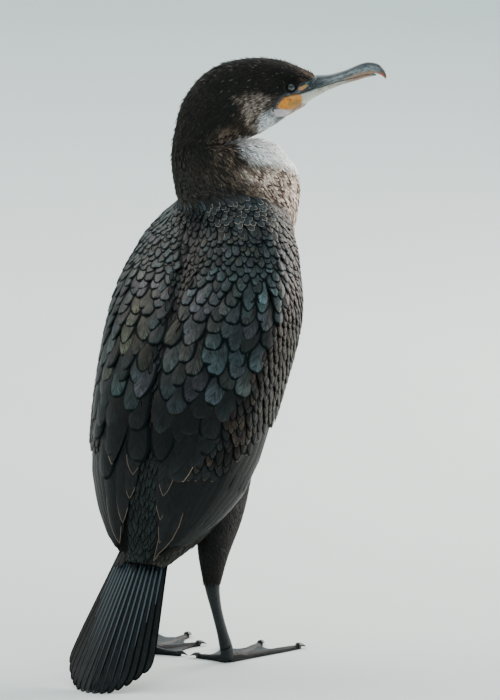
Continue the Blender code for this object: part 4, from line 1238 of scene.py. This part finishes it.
def make_scapulars(material, side):
    """Rows of rounded and pointed scales that grow down the wing's inner part, each rimmed all round."""
    surface = WINGS[side]
    length = wing_length(surface)
    rows, v = [], 0.085
    while v < 0.765:
        rows.append(v)
        v += np.interp(scale_width(v), (0.006, 0.012, 0.020), (0.60, 0.66, 0.66)) * scale_width(v) / length
    v, u, gap, row, shift = lattice(surface, rows, lambda v: (0.0, border(v) - 0.01), scale_width, 0.10)
    count = len(v)
    v = v + shift * gap / length
    long = gap * RANDOM.uniform(1.9, 2.3, count)
    root = v - long / length * 0.5
    step_v, step_u = towards(surface, root, u, long, RANDOM.normal(0, 0.10, count))
    colour = blend(sheen_colour(side, u, v), tone("0d1213"), soft(v, 0.50, 0.66))
    # Some of the lowest have thin brownish rims, the rest are black rimmed.
    brown = (RANDOM.random(count) < 0.35 * soft(v, 0.50, 0.64))[:, None]
    edge = np.where(brown, tone("3f352e"), tone("0c1416"))
    rim = np.where(brown[:, 0], 0.0006, np.interp(gap, (0.008, 0.020), (0.0018, 0.0031)))
    light = new_tint(colour, 0.35, 0.3)
    blunt = RANDOM.random(count) < 0.55
    coat = Coat()
    for shape, some in (("round", blunt), ("pointed", ~blunt)):
        n = some.sum()
        half = gap[some] * (0.54 if shape == "round" else 0.60)
        high = 0.0011 + gap[some] * 0.045 + (row[some] % 2) * 0.0003
        made = vanes(surface, root[some], u[some], (step_v[some], step_u[some]), half, shape, (-0.0012, high),
                     camber=0.15, columns=7, tilt=RANDOM.normal(0, 0.04, n))
        shaft = np.interp(gap[some], (0.010, 0.020), (0.1, 0.45))
        coat.put(made, wing_map(side, u[some], root[some]), light[some], edge[some], rim[some], 0.85, shaft,
                 (0.010, 0.010))
    coat.build(f"scapulars_{side}", material)


COVERT_PLACES = (0.05, 0.25, 0.45, 0.70)
COVERT_WIDTHS = (0.0058, 0.0068, 0.0080, 0.0092)

# The line of the greater coverts' pale tips: places across the wing, and how far down it they are.
COVERT_LINES = {
    "left": ((0.20, 0.28, 0.75, 1.0), (0.78, 0.774, 0.734, 0.66)),
    "right": ((0.30, 0.45, 0.49, 0.54, 0.60, 0.66, 0.70, 0.85, 1.0),
              (0.830, 0.805, 0.79, 0.75, 0.72, 0.68, 0.65, 0.60, 0.57)),
}


def make_outer_coverts(material, side):
    """Small brownish lancets over the wing's outer part, down to the line of the greater coverts."""
    surface = WINGS[side]
    length = wing_length(surface)
    rows, v = [], 0.03
    while v < 0.84:
        rows.append(v)
        v += 0.80 * np.interp(v, COVERT_PLACES, COVERT_WIDTHS) / length

    v, u, gap, row, shift = lattice(
        surface, rows, lambda v: (border(v) - 0.03, 0.97),
        lambda v: np.interp(v, COVERT_PLACES, COVERT_WIDTHS), 0.16)
    kept = v < np.interp(u, *COVERT_LINES[side]) - 0.035
    v, u, gap, row, shift = (values[kept] for values in (v, u, gap, row, shift))
    count = len(v)
    v = v + shift * gap / length
    root = v - gap / length
    slant = RANDOM.normal(0, 0.07, count) - 0.16 * SIDES[side]
    reach = towards(surface, root, u, gap * RANDOM.uniform(2.0, 2.5, count), slant)
    colour = pick((4, 3, 2), ("2d2620", "24221e", "1c1f1e"), count)
    plain = soft(u, 0.78, 0.90)
    colour = blend(colour, tone("0d0b09"), plain * 0.8)
    coat = Coat()
    made = vanes(surface, root, u, reach, gap * 0.56, "lancet", (-0.0002, 0.0020 + (row % 2) * 0.0002),
                 camber=0.14,
                 columns=5, tilt=RANDOM.normal(0, 0.05, count))
    coat.put(made, wing_map(side, u, v), new_tint(colour, 0.35, 0.4), tone("0a0c0c"),
             0.0014 - 0.0006 * plain, 0.85,
             0.25, (0.005, 0.005))
    coat.build(f"outer_coverts_{side}", material)


# The long feathers of a wing, from the lowest tier to the topmost: how many, roots (u inner, u outer, v),
# tips (u inner, u outer, v inner, v outer), half width, heights at root and tip, tip colour, rim in metres
# and vane colour.
LONG_TIERS = (
    (15, (0.20, 0.92, 0.56), (0.26, 0.93, 0.990, 0.955), 0.0068, (-0.0022, 0.0002), "1c2122", 0.0004,
     "080b0b"),
    (15, (0.16, 0.92, 0.50), (0.16, 0.92, 0.955, 0.895), 0.0068, (-0.0016, 0.0005), "1c2122", 0.0004,
     "080b0b"),
    (13, (0.28, 0.93, 0.56), (0.28, 0.95, 0.855, 0.650), 0.0066, (-0.0010, 0.0008), "7a6254", 0.0006,
     "101212"),
)

# The innermost long feathers lie in a stack along the wing's inner edge, each with a pale V for a tip: tips
# from the lowest to the topmost, then one broad feather whose pale end slants across them.
STACKED_TIPS = {
    "left": ((0.26, 0.985), (0.105, 0.941), (0.020, 0.889), (0.005, 0.836)),
    "right": ((0.27, 1.010), (0.175, 0.977), (0.085, 0.928), (0.095, 0.875)),
}
BROAD_TIPS = {"left": (0.204, 0.807), "right": (0.244, 0.834)}


def make_long_feathers(material, side):
    """The wing's long feathers: primaries, secondaries, greater coverts, then the stack at its inner edge."""
    surface = WINGS[side]
    coat = Coat()
    for layer, (count, root, tip, half, lift, edge, rim, shade) in enumerate(LONG_TIERS):
        i = np.arange(count) / (count - 1)
        u0 = root[0] + (root[1] - root[0]) * i
        u1 = tip[0] + (tip[1] - tip[0]) * i
        v0 = np.full(count, root[2]) + RANDOM.normal(0, 0.006, count)
        v1 = tip[2] + (tip[3] - tip[2]) * i + RANDOM.normal(0, 0.006, count)
        if layer == 2:
            v1 = np.interp(u1, *COVERT_LINES[side]) + RANDOM.normal(0, 0.004, count)
        low = lift[0] - 0.0001 * np.arange(count)
        high = lift[1] - 0.00010 * np.arange(count)
        made = vanes(surface, v0, u0, (v1 - v0, u1 - u0), half * RANDOM.uniform(0.94, 1.06, count), "flight",
                     (low, high), camber=0.10, columns=9, tilt=0.05 * SIDES[side], thick=0.0005)
        colour = new_tint(np.broadcast_to(tone(shade), (count, 3)), 0.12)
        coat.put(made, wing_map(side, (u0 + u1) / 2, (v0 + v1) / 2), colour, tone(edge), rim,
                 0.08 if layer == 2 else 1.0, 0.3, (0.016, 0.05))
    # The stack's rims run on up the inner side, and soon end on the outer one.
    tips = np.array(STACKED_TIPS[side])
    order = np.arange(len(tips))
    u0, v0 = tips[:, 0] * 0.6 + 0.05, np.full(len(tips), 0.60)
    made = vanes(surface, v0, u0, (tips[:, 1] - v0, tips[:, 0] - u0), 0.0088, "arrow",
                 (-0.0002, 0.0014 + 0.0004 * order), camber=0.09, columns=9, tilt=0.02 * SIDES[side],
                 thick=0.0005)
    colour = new_tint(np.broadcast_to(tone("101314"), (len(tips), 3)), 0.10)
    coat.put(made, wing_map(side, u0, (v0 + tips[:, 1]) / 2), colour, tone("7d6c60"), 0.0006, 0.26, 0.3,
             (0.016, 0.05), lean=-0.35 * SIDES[side])
    broad = np.array([BROAD_TIPS[side]])
    u0, v0 = broad[:, 0] * 0.7, np.array([0.56])
    made = vanes(surface, v0, u0, (broad[:, 1] - v0, broad[:, 0] - u0), 0.0140, "blade", (-0.0002, 0.0032),
                 camber=0.09, columns=11, tilt=0.02 * SIDES[side], thick=0.0005)
    coat.put(made, wing_map(side, u0, (v0 + broad[:, 1]) / 2), tone("101314"), tone("9a8878"), 0.0007,
             0.20, 0.3,
             (0.016, 0.05), lean=-0.95 * SIDES[side])
    coat.build(f"flight_feathers_{side}", material)


def make_wing_skin(material, side):
    """The wing's body under its feathers, from inside the torso's skin out to just under the vanes."""
    u, v = np.meshgrid(np.linspace(0, 1, 56), np.linspace(0, 1, 110))
    outer = wing_point(side, u, v, np.full(u.shape, -0.0022))
    t, theta = wing_place(u[:, [0, -1]], v[:, [0, -1]])
    theta = theta * -SIDES[side]
    inner = body_point(t, theta) - body_normal(t, theta) * 0.006
    sections = np.concatenate([outer, inner[:, ::-1]], 1)
    uv = np.stack(wing_map(side, u, v), -1)
    uv = np.concatenate([uv, uv[:, [-1, 0]]], 1)
    colour = blend(tone("0b0d0d"), tone("12110f"), lumps(sections, 0.01, 3))
    made = tube_object(f"wing_skin_{side}", sections, material, uv, colour)
    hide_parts(f"wing_{side}")


# The tail

TAIL_WAY = (TAIL_TIP - TAIL_ROOT) / np.linalg.norm(TAIL_TIP - TAIL_ROOT)
TAIL_LENGTH = np.linalg.norm(TAIL_TIP - TAIL_ROOT)
TAIL_ACROSS = np.array([1.0, 0.0, 0.0])
TAIL_UP = np.cross(TAIL_ACROSS, TAIL_WAY) * np.sign(np.cross(TAIL_ACROSS, TAIL_WAY)[2])
TAIL_WIDTHS = ((-0.06, 0.0, 0.25, 0.60, 0.80, 0.90, 0.95, 0.98, 1.0),
               (0.50, 0.58, 0.70, 0.92, 1.0, 0.94, 0.76, 0.50, 0.14))


def tail_line(i, f, x):
    """Points on a tail feather, and the way up: f runs from root to tip, x across it from -1 to 1."""
    share = i / (TAIL_FEATHERS - 1) * 2 - 1
    length = TAIL_LENGTH * (1 - (1 - TAIL_OUTER_SHARE) * share * share)
    angle = math.radians(TAIL_FAN_DEG) * share
    ahead = TAIL_WAY * math.cos(angle) + TAIL_ACROSS * math.sin(angle)
    beside = TAIL_ACROSS * math.cos(angle) - TAIL_WAY * math.sin(angle)
    drop = TAIL_ARCH * share * share * np.minimum(f + 0.1, 1.0) + 0.0011 * abs(i - (TAIL_FEATHERS - 1) / 2)
    half = TAIL_FEATHER_HALF * np.interp(f, *TAIL_WIDTHS)
    rise = 0.0009 - 0.16 * np.sign(share) * half * x - 0.0008 * np.abs(x)
    root = TAIL_ROOT + TAIL_ACROSS * TAIL_ROOT_HALF * share
    place = (
        root + ahead * (length * f)[..., None] + beside * (half * x)[..., None]
        + TAIL_UP * (rise - drop)[..., None]
    )
    return place + OVER_ORIGIN


def make_tail_vanes(material):
    """Fourteen stiff feathers, whose barbs part here and there near their worn tips."""
    rows, columns = 60, 9
    coat = Coat()
    along, across = np.linspace(-0.05, 1, rows), np.linspace(-1, 1, columns)
    f, x = np.meshgrid(along, across, indexing="ij")
    for i in range(TAIL_FEATHERS):
        worn = (lumps(np.stack([f * 9, x * 0 + i * 3.7, np.sign(x)], -1), 1.0, 8)
                - 0.5) * 0.10 * soft(f, 0.5, 0.9)
        ragged = (lumps(np.stack([x * 3.0, x * 0 + i, f * 0], -1), 1.0, 9) - 0.5) * 0.016
        top = tail_line(i, f * (1 + ragged), x * (1 + worn * np.abs(x)))
        under = tail_line(i, f[:, [0, -1]], x[:, [0, -1]]) - TAIL_UP * 0.0007
        top[..., 2] = np.maximum(top[..., 2], 0.0006)
        under[..., 2] = np.maximum(under[..., 2], 0.0)
        nodes = np.concatenate([top, under], 1)[None]
        wide = (TAIL_FEATHER_HALF * np.interp(along, *TAIL_WIDTHS))[None]
        at = np.array([0.05 + 0.9 * i / (TAIL_FEATHERS - 1)]), np.array([0.5])
        coat.put((nodes, np.linspace(0, 1, rows), across, wide, np.array([TAIL_LENGTH])), at,
                 new_tint(np.broadcast_to(tone("0c1315"), (1, 3)), 0.10), tone("05080a"), 0.0013, 1.0, 0.0,
                 (0.05, 0.9))
    for vane in coat.build("tail_feathers", material):
        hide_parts("tail")


def make_tail_shafts(material):
    """The tail's strong slate shafts, which stand proud of the vanes and thin out to the tips."""
    rows, around = 50, 8
    f = np.linspace(-0.05, 0.975, rows)
    angles = np.linspace(0, 2 * np.pi, around, endpoint=False)
    radius = np.interp(f, (0, 0.5, 1), (0.00120, 0.00085, 0.00025))
    points, faces, uv = [], [], []
    for i in range(TAIL_FEATHERS):
        centre = tail_line(i, f, np.zeros(rows)) + TAIL_UP * 0.0004
        ring = TAIL_ACROSS * np.cos(angles)[:, None] + TAIL_UP * 0.8 * np.sin(angles)[:, None]
        ring = centre[:, None] + ring[None] * radius[:, None, None]
        ring[..., 2] = np.maximum(ring[..., 2], 0.0003)
        faces.append(grid_faces(rows, around, True)[:, ::-1] + i * rows * around)
        points.append(ring.reshape(-1, 3))
        down, j = np.meshgrid(np.linspace(0, 1, rows), np.arange(around) / around, indexing="ij")
        uv.append(np.stack([0.02 + 0.9 * (i + j * 0.6) / TAIL_FEATHERS, 0.02 + 0.96 * down],
                           -1).reshape(-1, 2))
    points = np.vstack(points)
    worn = np.tile(np.repeat(soft(f, 0.45, 1.0), around), TAIL_FEATHERS)
    shade = with_alpha(blend(tone("43545c"), tone("161d20"), worn))
    made = mesh_object("tail_shafts", points, np.vstack(faces), material, {"OFBake": np.vstack(uv)},
                       {"tint": shade})


# The bound base of the tail: metres along it, its half width and its half thickness.
COLLAR = ((-0.030, -0.010, 0.0, 0.020, 0.040, 0.050), (0.018, 0.0215, 0.0235, 0.0265, 0.0275, 0.0260),
          (0.0115, 0.0105, 0.0095, 0.0078, 0.0058, 0.0045))


def tail_base(a, b):
    """The bound base of the tail: a metres along it, b the angle from its upper side."""
    a, b = np.broadcast_arrays(np.asarray(a, float), np.asarray(b, float))
    half, thick = np.interp(a, COLLAR[0], COLLAR[1]), np.interp(a, COLLAR[0], COLLAR[2])
    centre = TAIL_ROOT + OVER_ORIGIN + TAIL_WAY * a[..., None] - TAIL_UP * 0.005
    return centre - TAIL_ACROSS * (half * np.sin(b))[..., None] + TAIL_UP * (thick * np.cos(b))[..., None]


def make_tail_coverts(material, skin_material):
    """The long coverts that bind the tail's base above and below, over a core."""
    a, b = np.meshgrid(np.linspace(-0.03, 0.016, 24), np.linspace(0, 2 * np.pi, 40, endpoint=False),
                       indexing="ij")
    ring = tail_base(a, b)
    sections = ring - unit(ring - ring.mean(1, keepdims=True)) * 0.001
    uv = np.stack([b / (2 * np.pi), 0.05 + (a + 0.03) * 11], -1)
    made = tube_object("tail_base", sections, skin_material, uv, tone("0a0d0e"))
    flat = Surface(tail_base, 1.0, 1.0)
    _, _, _, normal = flat.frame(np.array([0.0]), np.array([0.0]))
    surface = Surface(tail_base, 1.0, float(np.sign(normal[0] @ TAIL_UP)))
    rows = np.arange(-0.029, 0.002, 0.0060)
    a, b, _, row, _ = lattice(surface, rows, lambda a: (0.0, 2 * np.pi), lambda a: 0.0070)
    count = len(a)
    reach = towards(surface, a, b, RANDOM.uniform(0.016, 0.026, count), RANDOM.normal(0, 0.08, count))
    coat = Coat()
    made = vanes(surface, a, b, reach, 0.0042, "pointed", (-0.0010, 0.0007 + (row % 2) * 0.0003),
                 camber=0.10, columns=5)
    colour = new_tint(np.broadcast_to(tone("0c1415"), (count, 3)), 0.12)
    place = 0.03 + 0.94 * ((b / (2 * np.pi)) % 1), 0.05 + (a + 0.03) * 11
    coat.put(made, place, colour, tone("060808"), 0.0006, 0.5, 0.0, (0.02, 0.03))
    coat.build("tail_coverts", material)


# Legs and feet

def limb(stations, side):
    """A limb's surface: a is the station number, b the angle round it."""
    rows = np.array([
        [place[0] * SIDES[side], place[1], place[2], wide, deep]
        for place, wide, deep in stations
    ])

    def place(a, b):
        a, b = np.broadcast_arrays(np.asarray(a, float), np.asarray(b, float))
        row = smooth_rows(rows, a.ravel())
        way = unit(smooth_rows(rows, a.ravel() + 0.02)[:, :3] - smooth_rows(rows, a.ravel() - 0.02)[:, :3])
        fore = unit(np.cross(way, (1.0, 0.0, 0.0)))
        across = np.cross(fore, way)
        angle = b.ravel()[:, None]
        points = row[:, :3] + across * row[:, 3:4] * np.cos(angle) + fore * row[:, 4:5] * np.sin(angle)
        return points.reshape(*a.shape, 3) + OVER_ORIGIN
    return place


def make_thigh(material, skin_material, side):
    """A thigh in short dark feathers, whose last ones hang over the shank's top."""
    # One more station lets the last feathers lie over the shank.
    place = limb((*THIGH, ((0.0437, 0.0385, 0.078), 0.0066, 0.0080)), side)
    a, b = np.meshgrid(np.linspace(0, 3, 50), np.linspace(0, 2 * np.pi, 60, endpoint=False), indexing="ij")
    points = place(a, b)
    middle = points.mean(1, keepdims=True)
    points = points - unit(points - middle) * np.interp(a, (0, 3), (0.0025, 0.0006))[..., None]
    uv = np.stack([b / (2 * np.pi), 0.03 + a * 0.31], -1)
    colour = blend(tone("0d0f10"), tone("191614"), lumps(points, 0.01, 3))
    made = tube_object(f"thigh_skin_{side}", points, skin_material, uv, colour)
    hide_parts(f"thigh_{side}")
    centre = place(np.full(8, 1.5), np.linspace(0, 2 * np.pi, 8, endpoint=False)).mean(0)
    at, _, _, normal = Surface(place, 1.0, 1.0).frame(np.array([1.5]), np.array([0.0]))
    surface = Surface(place, 1.0, float(np.sign((at[0] - centre) @ normal[0])))
    a, b = scatter(surface, (0.05, 3.0), (0, 2 * np.pi), lambda a, b: np.interp(a, (0, 3), (0.0026, 0.0015)))
    count = len(a)
    length = np.interp(a, (0, 2.6, 3), (0.014, 0.0095, 0.0110)) * RANDOM.uniform(0.6, 1.2, count)
    reach = towards(surface, a, b, length, RANDOM.normal(0, 0.15, count))
    colour = new_tint(blend(tone("0e1011"), tone("1c1816"), lumps(place(a, b), 0.01, 3)), 0.2)
    coat = Coat()
    made = vanes(surface, a, b, reach, np.interp(a, (0, 3), (0.0022, 0.0011)), "lancet", (-0.0014, 0.0008),
                 camber=0.3, columns=3)
    coat.put(made, (0.01 + 0.98 * ((b / (2 * np.pi)) % 1), 0.03 + a * 0.31), colour, colour * 0.5, 0.0004,
             0.5)
    coat.build(f"thigh_feathers_{side}", material)


def make_foot_skin(node, name, material):
    """The shank or foot: the solid's own mesh, remeshed in 0.9 mm voxels and smoothed into one soft skin."""
    made = bpy.data.objects.new(name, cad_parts[node].data.copy())
    bpy.context.scene.collection.objects.link(made)
    remesh = made.modifiers.new("remesh", "REMESH")
    remesh.mode = "VOXEL"
    remesh.voxel_size = 0.0009
    remesh.use_smooth_shade = True
    smooth = made.modifiers.new("smooth", "SMOOTH")
    smooth.factor = 0.5
    smooth.iterations = 6
    mesh = bpy.data.meshes.new_from_object(made.evaluated_get(bpy.context.evaluated_depsgraph_get()))
    bpy.data.objects.remove(made)
    mesh.name = name
    made = bpy.data.objects.new(name, mesh)
    bpy.context.scene.collection.objects.link(made)
    mesh.materials.clear()
    mesh.materials.append(material)
    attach(made, "root")
    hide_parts(node)


def make_claws(material, side):
    """Four curved claws on each foot, pointed and a little flattened below."""
    joint = np.array([FOOT_PLACE[0] * SIDES[side], FOOT_PLACE[1], FOOT_PLACE[2]]) + OVER_ORIGIN
    upward = np.array([0.0, 0.0, 1.0])
    for name, outward, length, radius in TOES:
        angle = math.radians(outward)
        way = np.array([math.sin(angle) * SIDES[side], -math.cos(angle), 0.0])
        across = np.array([-way[1], way[0], 0.0])
        f, turn = np.meshgrid(np.linspace(0, 1, 24), np.linspace(0, 2 * np.pi, 20, endpoint=False),
                              indexing="ij")
        size = radius * 0.64 * (1 - 0.90 * f**1.2) + 0.0001
        height = 0.0030 + 0.0014 * np.sin(f * 3.1) - 0.0018 * f
        centre = joint + way * (length + CLAW_LENGTH * f - 0.0034)[..., None] + upward * height[..., None]
        place = centre + across * (size * np.cos(turn))[..., None]
        place = place + upward * (size * np.sin(turn) * np.where(np.sin(turn) < 0, 0.8, 1.05))[..., None]
        place[..., 2] = np.maximum(place[..., 2], 0.0)
        colour = blend(tone("15181a"), tone("4a4c4a"), soft(f, 0.75, 1.0) * 0.6)
        uv = np.stack([turn / (2 * np.pi), 0.02 + 0.96 * f], -1)
        made = tube_object(f"claw_{name}_{side}", place, material, uv, colour)


# Bill, eyes and lids

def in_head_plane(places):
    ahead, _ = heading(HEAD_YAW)
    places = np.asarray(places)
    level = ahead * places[..., 0:1]
    level[..., 2] = places[..., 1]
    return level + np.array([0.0, NECK_AXIS_Y, 0.0]) + OVER_ORIGIN


def bill_shape(stations, upper):
    """The bill's sections as a fine grid, with how far along and how high up each point is."""
    rows = np.array([[*top, *bottom, half] for top, bottom, half in stations])
    # It runs a little way into the head, so that no gap shows between them.
    rows = np.vstack([rows[0] + (rows[0] - rows[1]) * 0.35, rows])
    rows[0, 1] -= 0.0008
    count, around = 90, 40
    s = np.linspace(0, len(rows) - 1, count)
    rows = smooth_rows(rows, s)
    _, rightward = heading(HEAD_YAW)
    arch = np.radians(np.linspace(0, 180, 29))
    height = np.sin(arch) ** (0.80 if upper else 0.72)
    across = np.cos(arch)
    if upper:
        # A groove runs along each side under the culmen, and the culmen is a low ridge.
        height = height * (1 - 0.11 * np.exp(-(((height - 0.62) / 0.07) ** 2)))
        across = across * (1 - 0.10 * np.exp(-(((height - 0.60) / 0.08) ** 2)))
    flat_x = np.linspace(-0.92, 0.92, around - 29)
    height = np.concatenate([height, 0.06 * (1 - flat_x**2)])
    across = np.concatenate([across, flat_x])
    top, bottom = in_head_plane(rows[:, 0:2]), in_head_plane(rows[:, 2:4])
    flat, crown = (bottom, top) if upper else (top, bottom)
    points = (
        flat[:, None] + (crown - flat)[:, None] * height[None, :, None]
        + rightward * (rows[:, 4:5] * across)[..., None]
    )
    along = np.broadcast_to((s / s[-1])[:, None], points.shape[:2])
    high = np.broadcast_to(height[None], points.shape[:2])
    return points, along, high


def upper_colour(along, high, streak):
    """The upper bill: flaky grey, a dark culmen, tan above the mouth, and an orange hook with a pale tip."""
    colour = blend(tone("8f9a9f"), tone("3f4a50"), soft(streak, 0.40, 0.70) * 0.85)
    colour = blend(colour, tone("a9b2b4"), soft(streak, 0.70, 0.85) * 0.7 * (1 - soft(high, 0.6, 0.8)))
    colour = blend(colour, tone("2c363c"), soft(high, 0.66, 0.86) * (1 - soft(along, 0.80, 1.0) * 0.3))
    colour = blend(colour, tone("1c262c"), (1 - soft(along, 0.08, 0.26)) * 0.85)
    tan = (1 - soft(high, 0.12, 0.34)) * soft(along, 0.22, 0.38) * (1 - soft(along, 0.70, 0.85))
    colour = blend(colour, tone("a98562"), tan * 0.85)
    colour = blend(colour, tone("5a686c"), soft(along, 0.60, 0.74) * 0.4)
    colour = blend(colour, tone("2d3a38"), soft(along, 0.70, 0.84) * 0.8)
    colour = blend(colour, tone("b5572e"), (1 - soft(high, 0.30, 0.62)) * soft(along, 0.74, 0.84) * 0.95)
    return blend(colour, tone("cf9a58"), soft(along, 0.94, 0.99) * 0.8)


def lower_colour(along, high, streak):
    """The lower bill: cream at its base, then tan and flaky grey, darker at its tip."""
    colour = blend(tone("8b979c"), tone("cfcdbf"), 1 - soft(along, 0.30, 0.55))
    colour = blend(colour, tone("a3704e"), soft(along, 0.34, 0.58) * (1 - soft(along, 0.75, 0.9)) * 0.75)
    colour = blend(colour, tone("8d7064"), soft(high, 0.55, 0.85) * (1 - soft(along, 0.5, 0.8)) * 0.6)
    colour = blend(colour, tone("6f665f"), soft(streak, 0.55, 0.8) * 0.55)
    return blend(colour, tone("5b6264"), soft(along, 0.80, 0.95))


def make_bill(material):
    """Both halves of the bill, streaked along, their surface flaked in small chips."""
    for name, stations, upper in (("bill_upper", UPPER_BILL, True), ("bill_lower", LOWER_BILL, False)):
        points, along, high = bill_shape(stations, upper)
        flakes = lumps(points * np.array([0.4, 0.4, 1.6]), 0.0012, 11)
        outwards = unit(points - points.mean(1, keepdims=True))
        points = points + outwards * ((flakes - 0.5) * 0.00022)[..., None]
        streak = lumps(np.stack([along * 26, high * 9, high * 0], -1), 1.0, 12)
        colour = upper_colour(along, high, streak) if upper else lower_colour(along, high, streak)
        turn = np.broadcast_to(np.arange(points.shape[1]) / points.shape[1], along.shape)
        uv = np.stack([0.02 + 0.96 * turn, 0.02 + 0.96 * along], -1)
        made = tube_object(name + "_horn", points, material, uv, colour)
        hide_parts(name)


def make_eyes(material, side):
    """An eye is one ball with a clear, raised front, drawn as pupil, iris and dark rim."""
    ahead, _ = heading(HEAD_YAW)
    out = eye_outwards(side)
    polar, turn = np.meshgrid(np.linspace(0.001, np.pi - 0.001, 60),
                              np.linspace(0, 2 * np.pi, 96, endpoint=False),
                              indexing="ij")
    radius = EYE_RADIUS * (0.985 + 0.035 * np.exp(-((polar / 0.62) ** 4)))
    ring = ahead * np.cos(turn)[..., None] + np.array([0.0, 0.0, 1.0]) * np.sin(turn)[..., None]
    points = (
        EYES[side] + out * (radius * np.cos(polar))[..., None]
        + ring * (radius * np.sin(polar))[..., None]
    )
    degrees = np.degrees(polar)
    fibre = lumps(np.stack([np.cos(turn) * 7, np.sin(turn) * 7, degrees * 0.04], -1), 1.0, 13)
    colour = blend(tone("06181c"), tone("0d2e30"), soft(fibre, 0.4, 0.8))
    colour = blend(colour, tone("08161c"), soft(degrees, 38, 50))
    colour = blend(colour, tone("010202"), 1 - soft(degrees, 25, 28))
    uv = 0.5 + (degrees / 180)[..., None] * 0.48 * np.stack([np.cos(turn), np.sin(turn)], -1)
    made = tube_object(f"eyeball_{side}", points, material, uv, colour)
    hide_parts(f"eye_{side}")


def make_lids(material, side):
    """The lids are one ring of skin round the eye, beaded like the real ones."""
    ahead, _ = heading(HEAD_YAW)
    upward = np.array([0.0, 0.0, 1.0])
    out = eye_outwards(side)
    turn, angle = np.meshgrid(np.linspace(0, 2 * np.pi, 96, endpoint=False),
                              np.linspace(0, 2 * np.pi, 14, endpoint=False),
                              indexing="ij")
    wide = 0.0047 * (1 + 0.10 * np.cos(2 * turn))
    tall = np.where(np.sin(turn) > 0, 0.0042, 0.0045)
    line = EYES[side] + out * (0.0031 - 0.0010 * np.cos(turn) ** 2)[..., None]
    line = line + ahead * (wide * np.cos(turn))[..., None] + upward * (tall * np.sin(turn))[..., None]
    away = ahead * np.cos(turn)[..., None] + upward * np.sin(turn)[..., None]
    size = 0.0010 * (1 + 0.10 * np.sin(turn * 22))
    place = line + (away * np.cos(angle)[..., None] * 1.1 + out * np.sin(angle)[..., None]
                    * 0.9) * size[..., None]
    rows, columns = turn.shape
    i, j = np.meshgrid(np.arange(rows), np.arange(columns), indexing="ij")
    i, j = i.ravel(), j.ravel()
    k, m = (j + 1) % columns, (i + 1) % rows
    faces = np.stack([i * columns + j, i * columns + k, m * columns + k, m * columns + j], -1)
    uv = np.stack([i / rows, 0.02 + 0.9 * j / columns], -1)
    shade = with_alpha(np.broadcast_to(tone("090c0e"), place.shape))
    made = mesh_object(f"eyelid_{side}", place.reshape(-1, 3), faces, material, {"OFBake": uv},
                       {"tint": shade})


# The stage

CAMERA_AZIMUTH, CAMERA_ELEVATION, CAMERA_DISTANCE = 207.0, 10.0, 6.0
VIEW_TARGET = np.array([-0.0535, -0.0272, 0.3137]) + OVER_ORIGIN
FRAME_HEIGHT = 0.700

# The camera's sensor, in millimetres, and the sky's even light.
SENSOR_WIDTH = 36.0
SKY_COLOUR = "d5e0e4"
SKY_STRENGTH = 0.74

# Studio lights: to the camera's right, towards it, above the bird, size in metres, watts, colour.
STUDIO_LIGHTS = (
    ("backdrop", 0.0, -5.0, 4.6, 6.0, 330, "e6f2f3"),
    ("key", -2.4, -1.4, 3.0, 2.4, 85, "fff4e8"),
    ("rim", 2.4, -1.7, 1.1, 2.0, 165, "fff4ea"),
    ("sky", 0.2, 0.6, 4.4, 3.8, 60, "e6f0f4"),
)


def make_stage():
    """A plain pale floor, a camera at the photo's angle, and soft light, most of it from beyond the bird."""
    data = bpy.data.meshes.new("floor")
    data.from_pydata([(-14, -14, 0), (14, -14, 0), (14, 14, 0), (-14, 14, 0)], [], [(0, 1, 2, 3)])
    floor = bpy.data.objects.new("floor", data)
    bpy.context.scene.collection.objects.link(floor)
    data.materials.append(painted_board())

    yaw, pitch = math.radians(CAMERA_AZIMUTH), math.radians(CAMERA_ELEVATION)
    back = np.array([math.sin(yaw) * math.cos(pitch), -math.cos(yaw) * math.cos(pitch), math.sin(pitch)])
    camera = bpy.data.objects.new("camera", bpy.data.cameras.new("camera"))
    bpy.context.scene.collection.objects.link(camera)
    camera.location = VIEW_TARGET + back * CAMERA_DISTANCE
    camera.rotation_euler = Vector(-back).to_track_quat("-Z", "Y").to_euler()
    camera.data.sensor_width = SENSOR_WIDTH
    camera.data.lens = SENSOR_WIDTH * CAMERA_DISTANCE / FRAME_HEIGHT
    camera.data.clip_end = 100.0
    bpy.context.scene.camera = camera

    right = np.cross(-back, (0, 0, 1.0))
    level = np.array([back[0], back[1], 0])
    for name, aside, behind, up, size, power, code in STUDIO_LIGHTS:
        light = bpy.data.objects.new(name, bpy.data.lights.new(name, "AREA"))
        light.data.size = size
        light.data.energy = power
        light.data.color = linear(code)[:3]
        light.location = VIEW_TARGET + right * aside + level * behind + np.array([0, 0, up])
        light.rotation_euler = Vector(
            VIEW_TARGET - np.array(light.location)
        ).to_track_quat("-Z", "Y").to_euler()
        bpy.context.scene.collection.objects.link(light)
    world = bpy.data.worlds.new("world")
    bpy.context.scene.world = world
    world.use_nodes = True
    world.node_tree.nodes["Background"].inputs[0].default_value = linear(SKY_COLOUR)
    world.node_tree.nodes["Background"].inputs[1].default_value = SKY_STRENGTH


def main():
    hair, scales, flight = hair_feathers(), scaled_feathers(), flight_vanes()
    down, feet, claws = down_skin(), foot_leather(), claw_horn()
    eye, lids = wet_eye(), lid_skin()
    make_skin(down, face_skin())
    make_body_coats(hair)
    make_mantle(scales)
    make_back_feathers(scales)
    for side in SIDES:
        make_wing_skin(down, side)
        make_long_feathers(flight, side)
        make_outer_coverts(scales, side)
        make_scapulars(scales, side)
        make_thigh(hair, down, side)
        make_foot_skin(f"shank_{side}", f"shank_skin_{side}", feet)
        make_foot_skin(f"foot_{side}", f"foot_skin_{side}", feet)
        make_claws(claws, side)
        make_eyes(eye, side)
        make_lids(lids, side)
    make_tail_vanes(tail_vanes())
    make_tail_shafts(shaft_horn())
    make_tail_coverts(flight, down)
    make_bill(bill_horn())
    make_stage()


main()
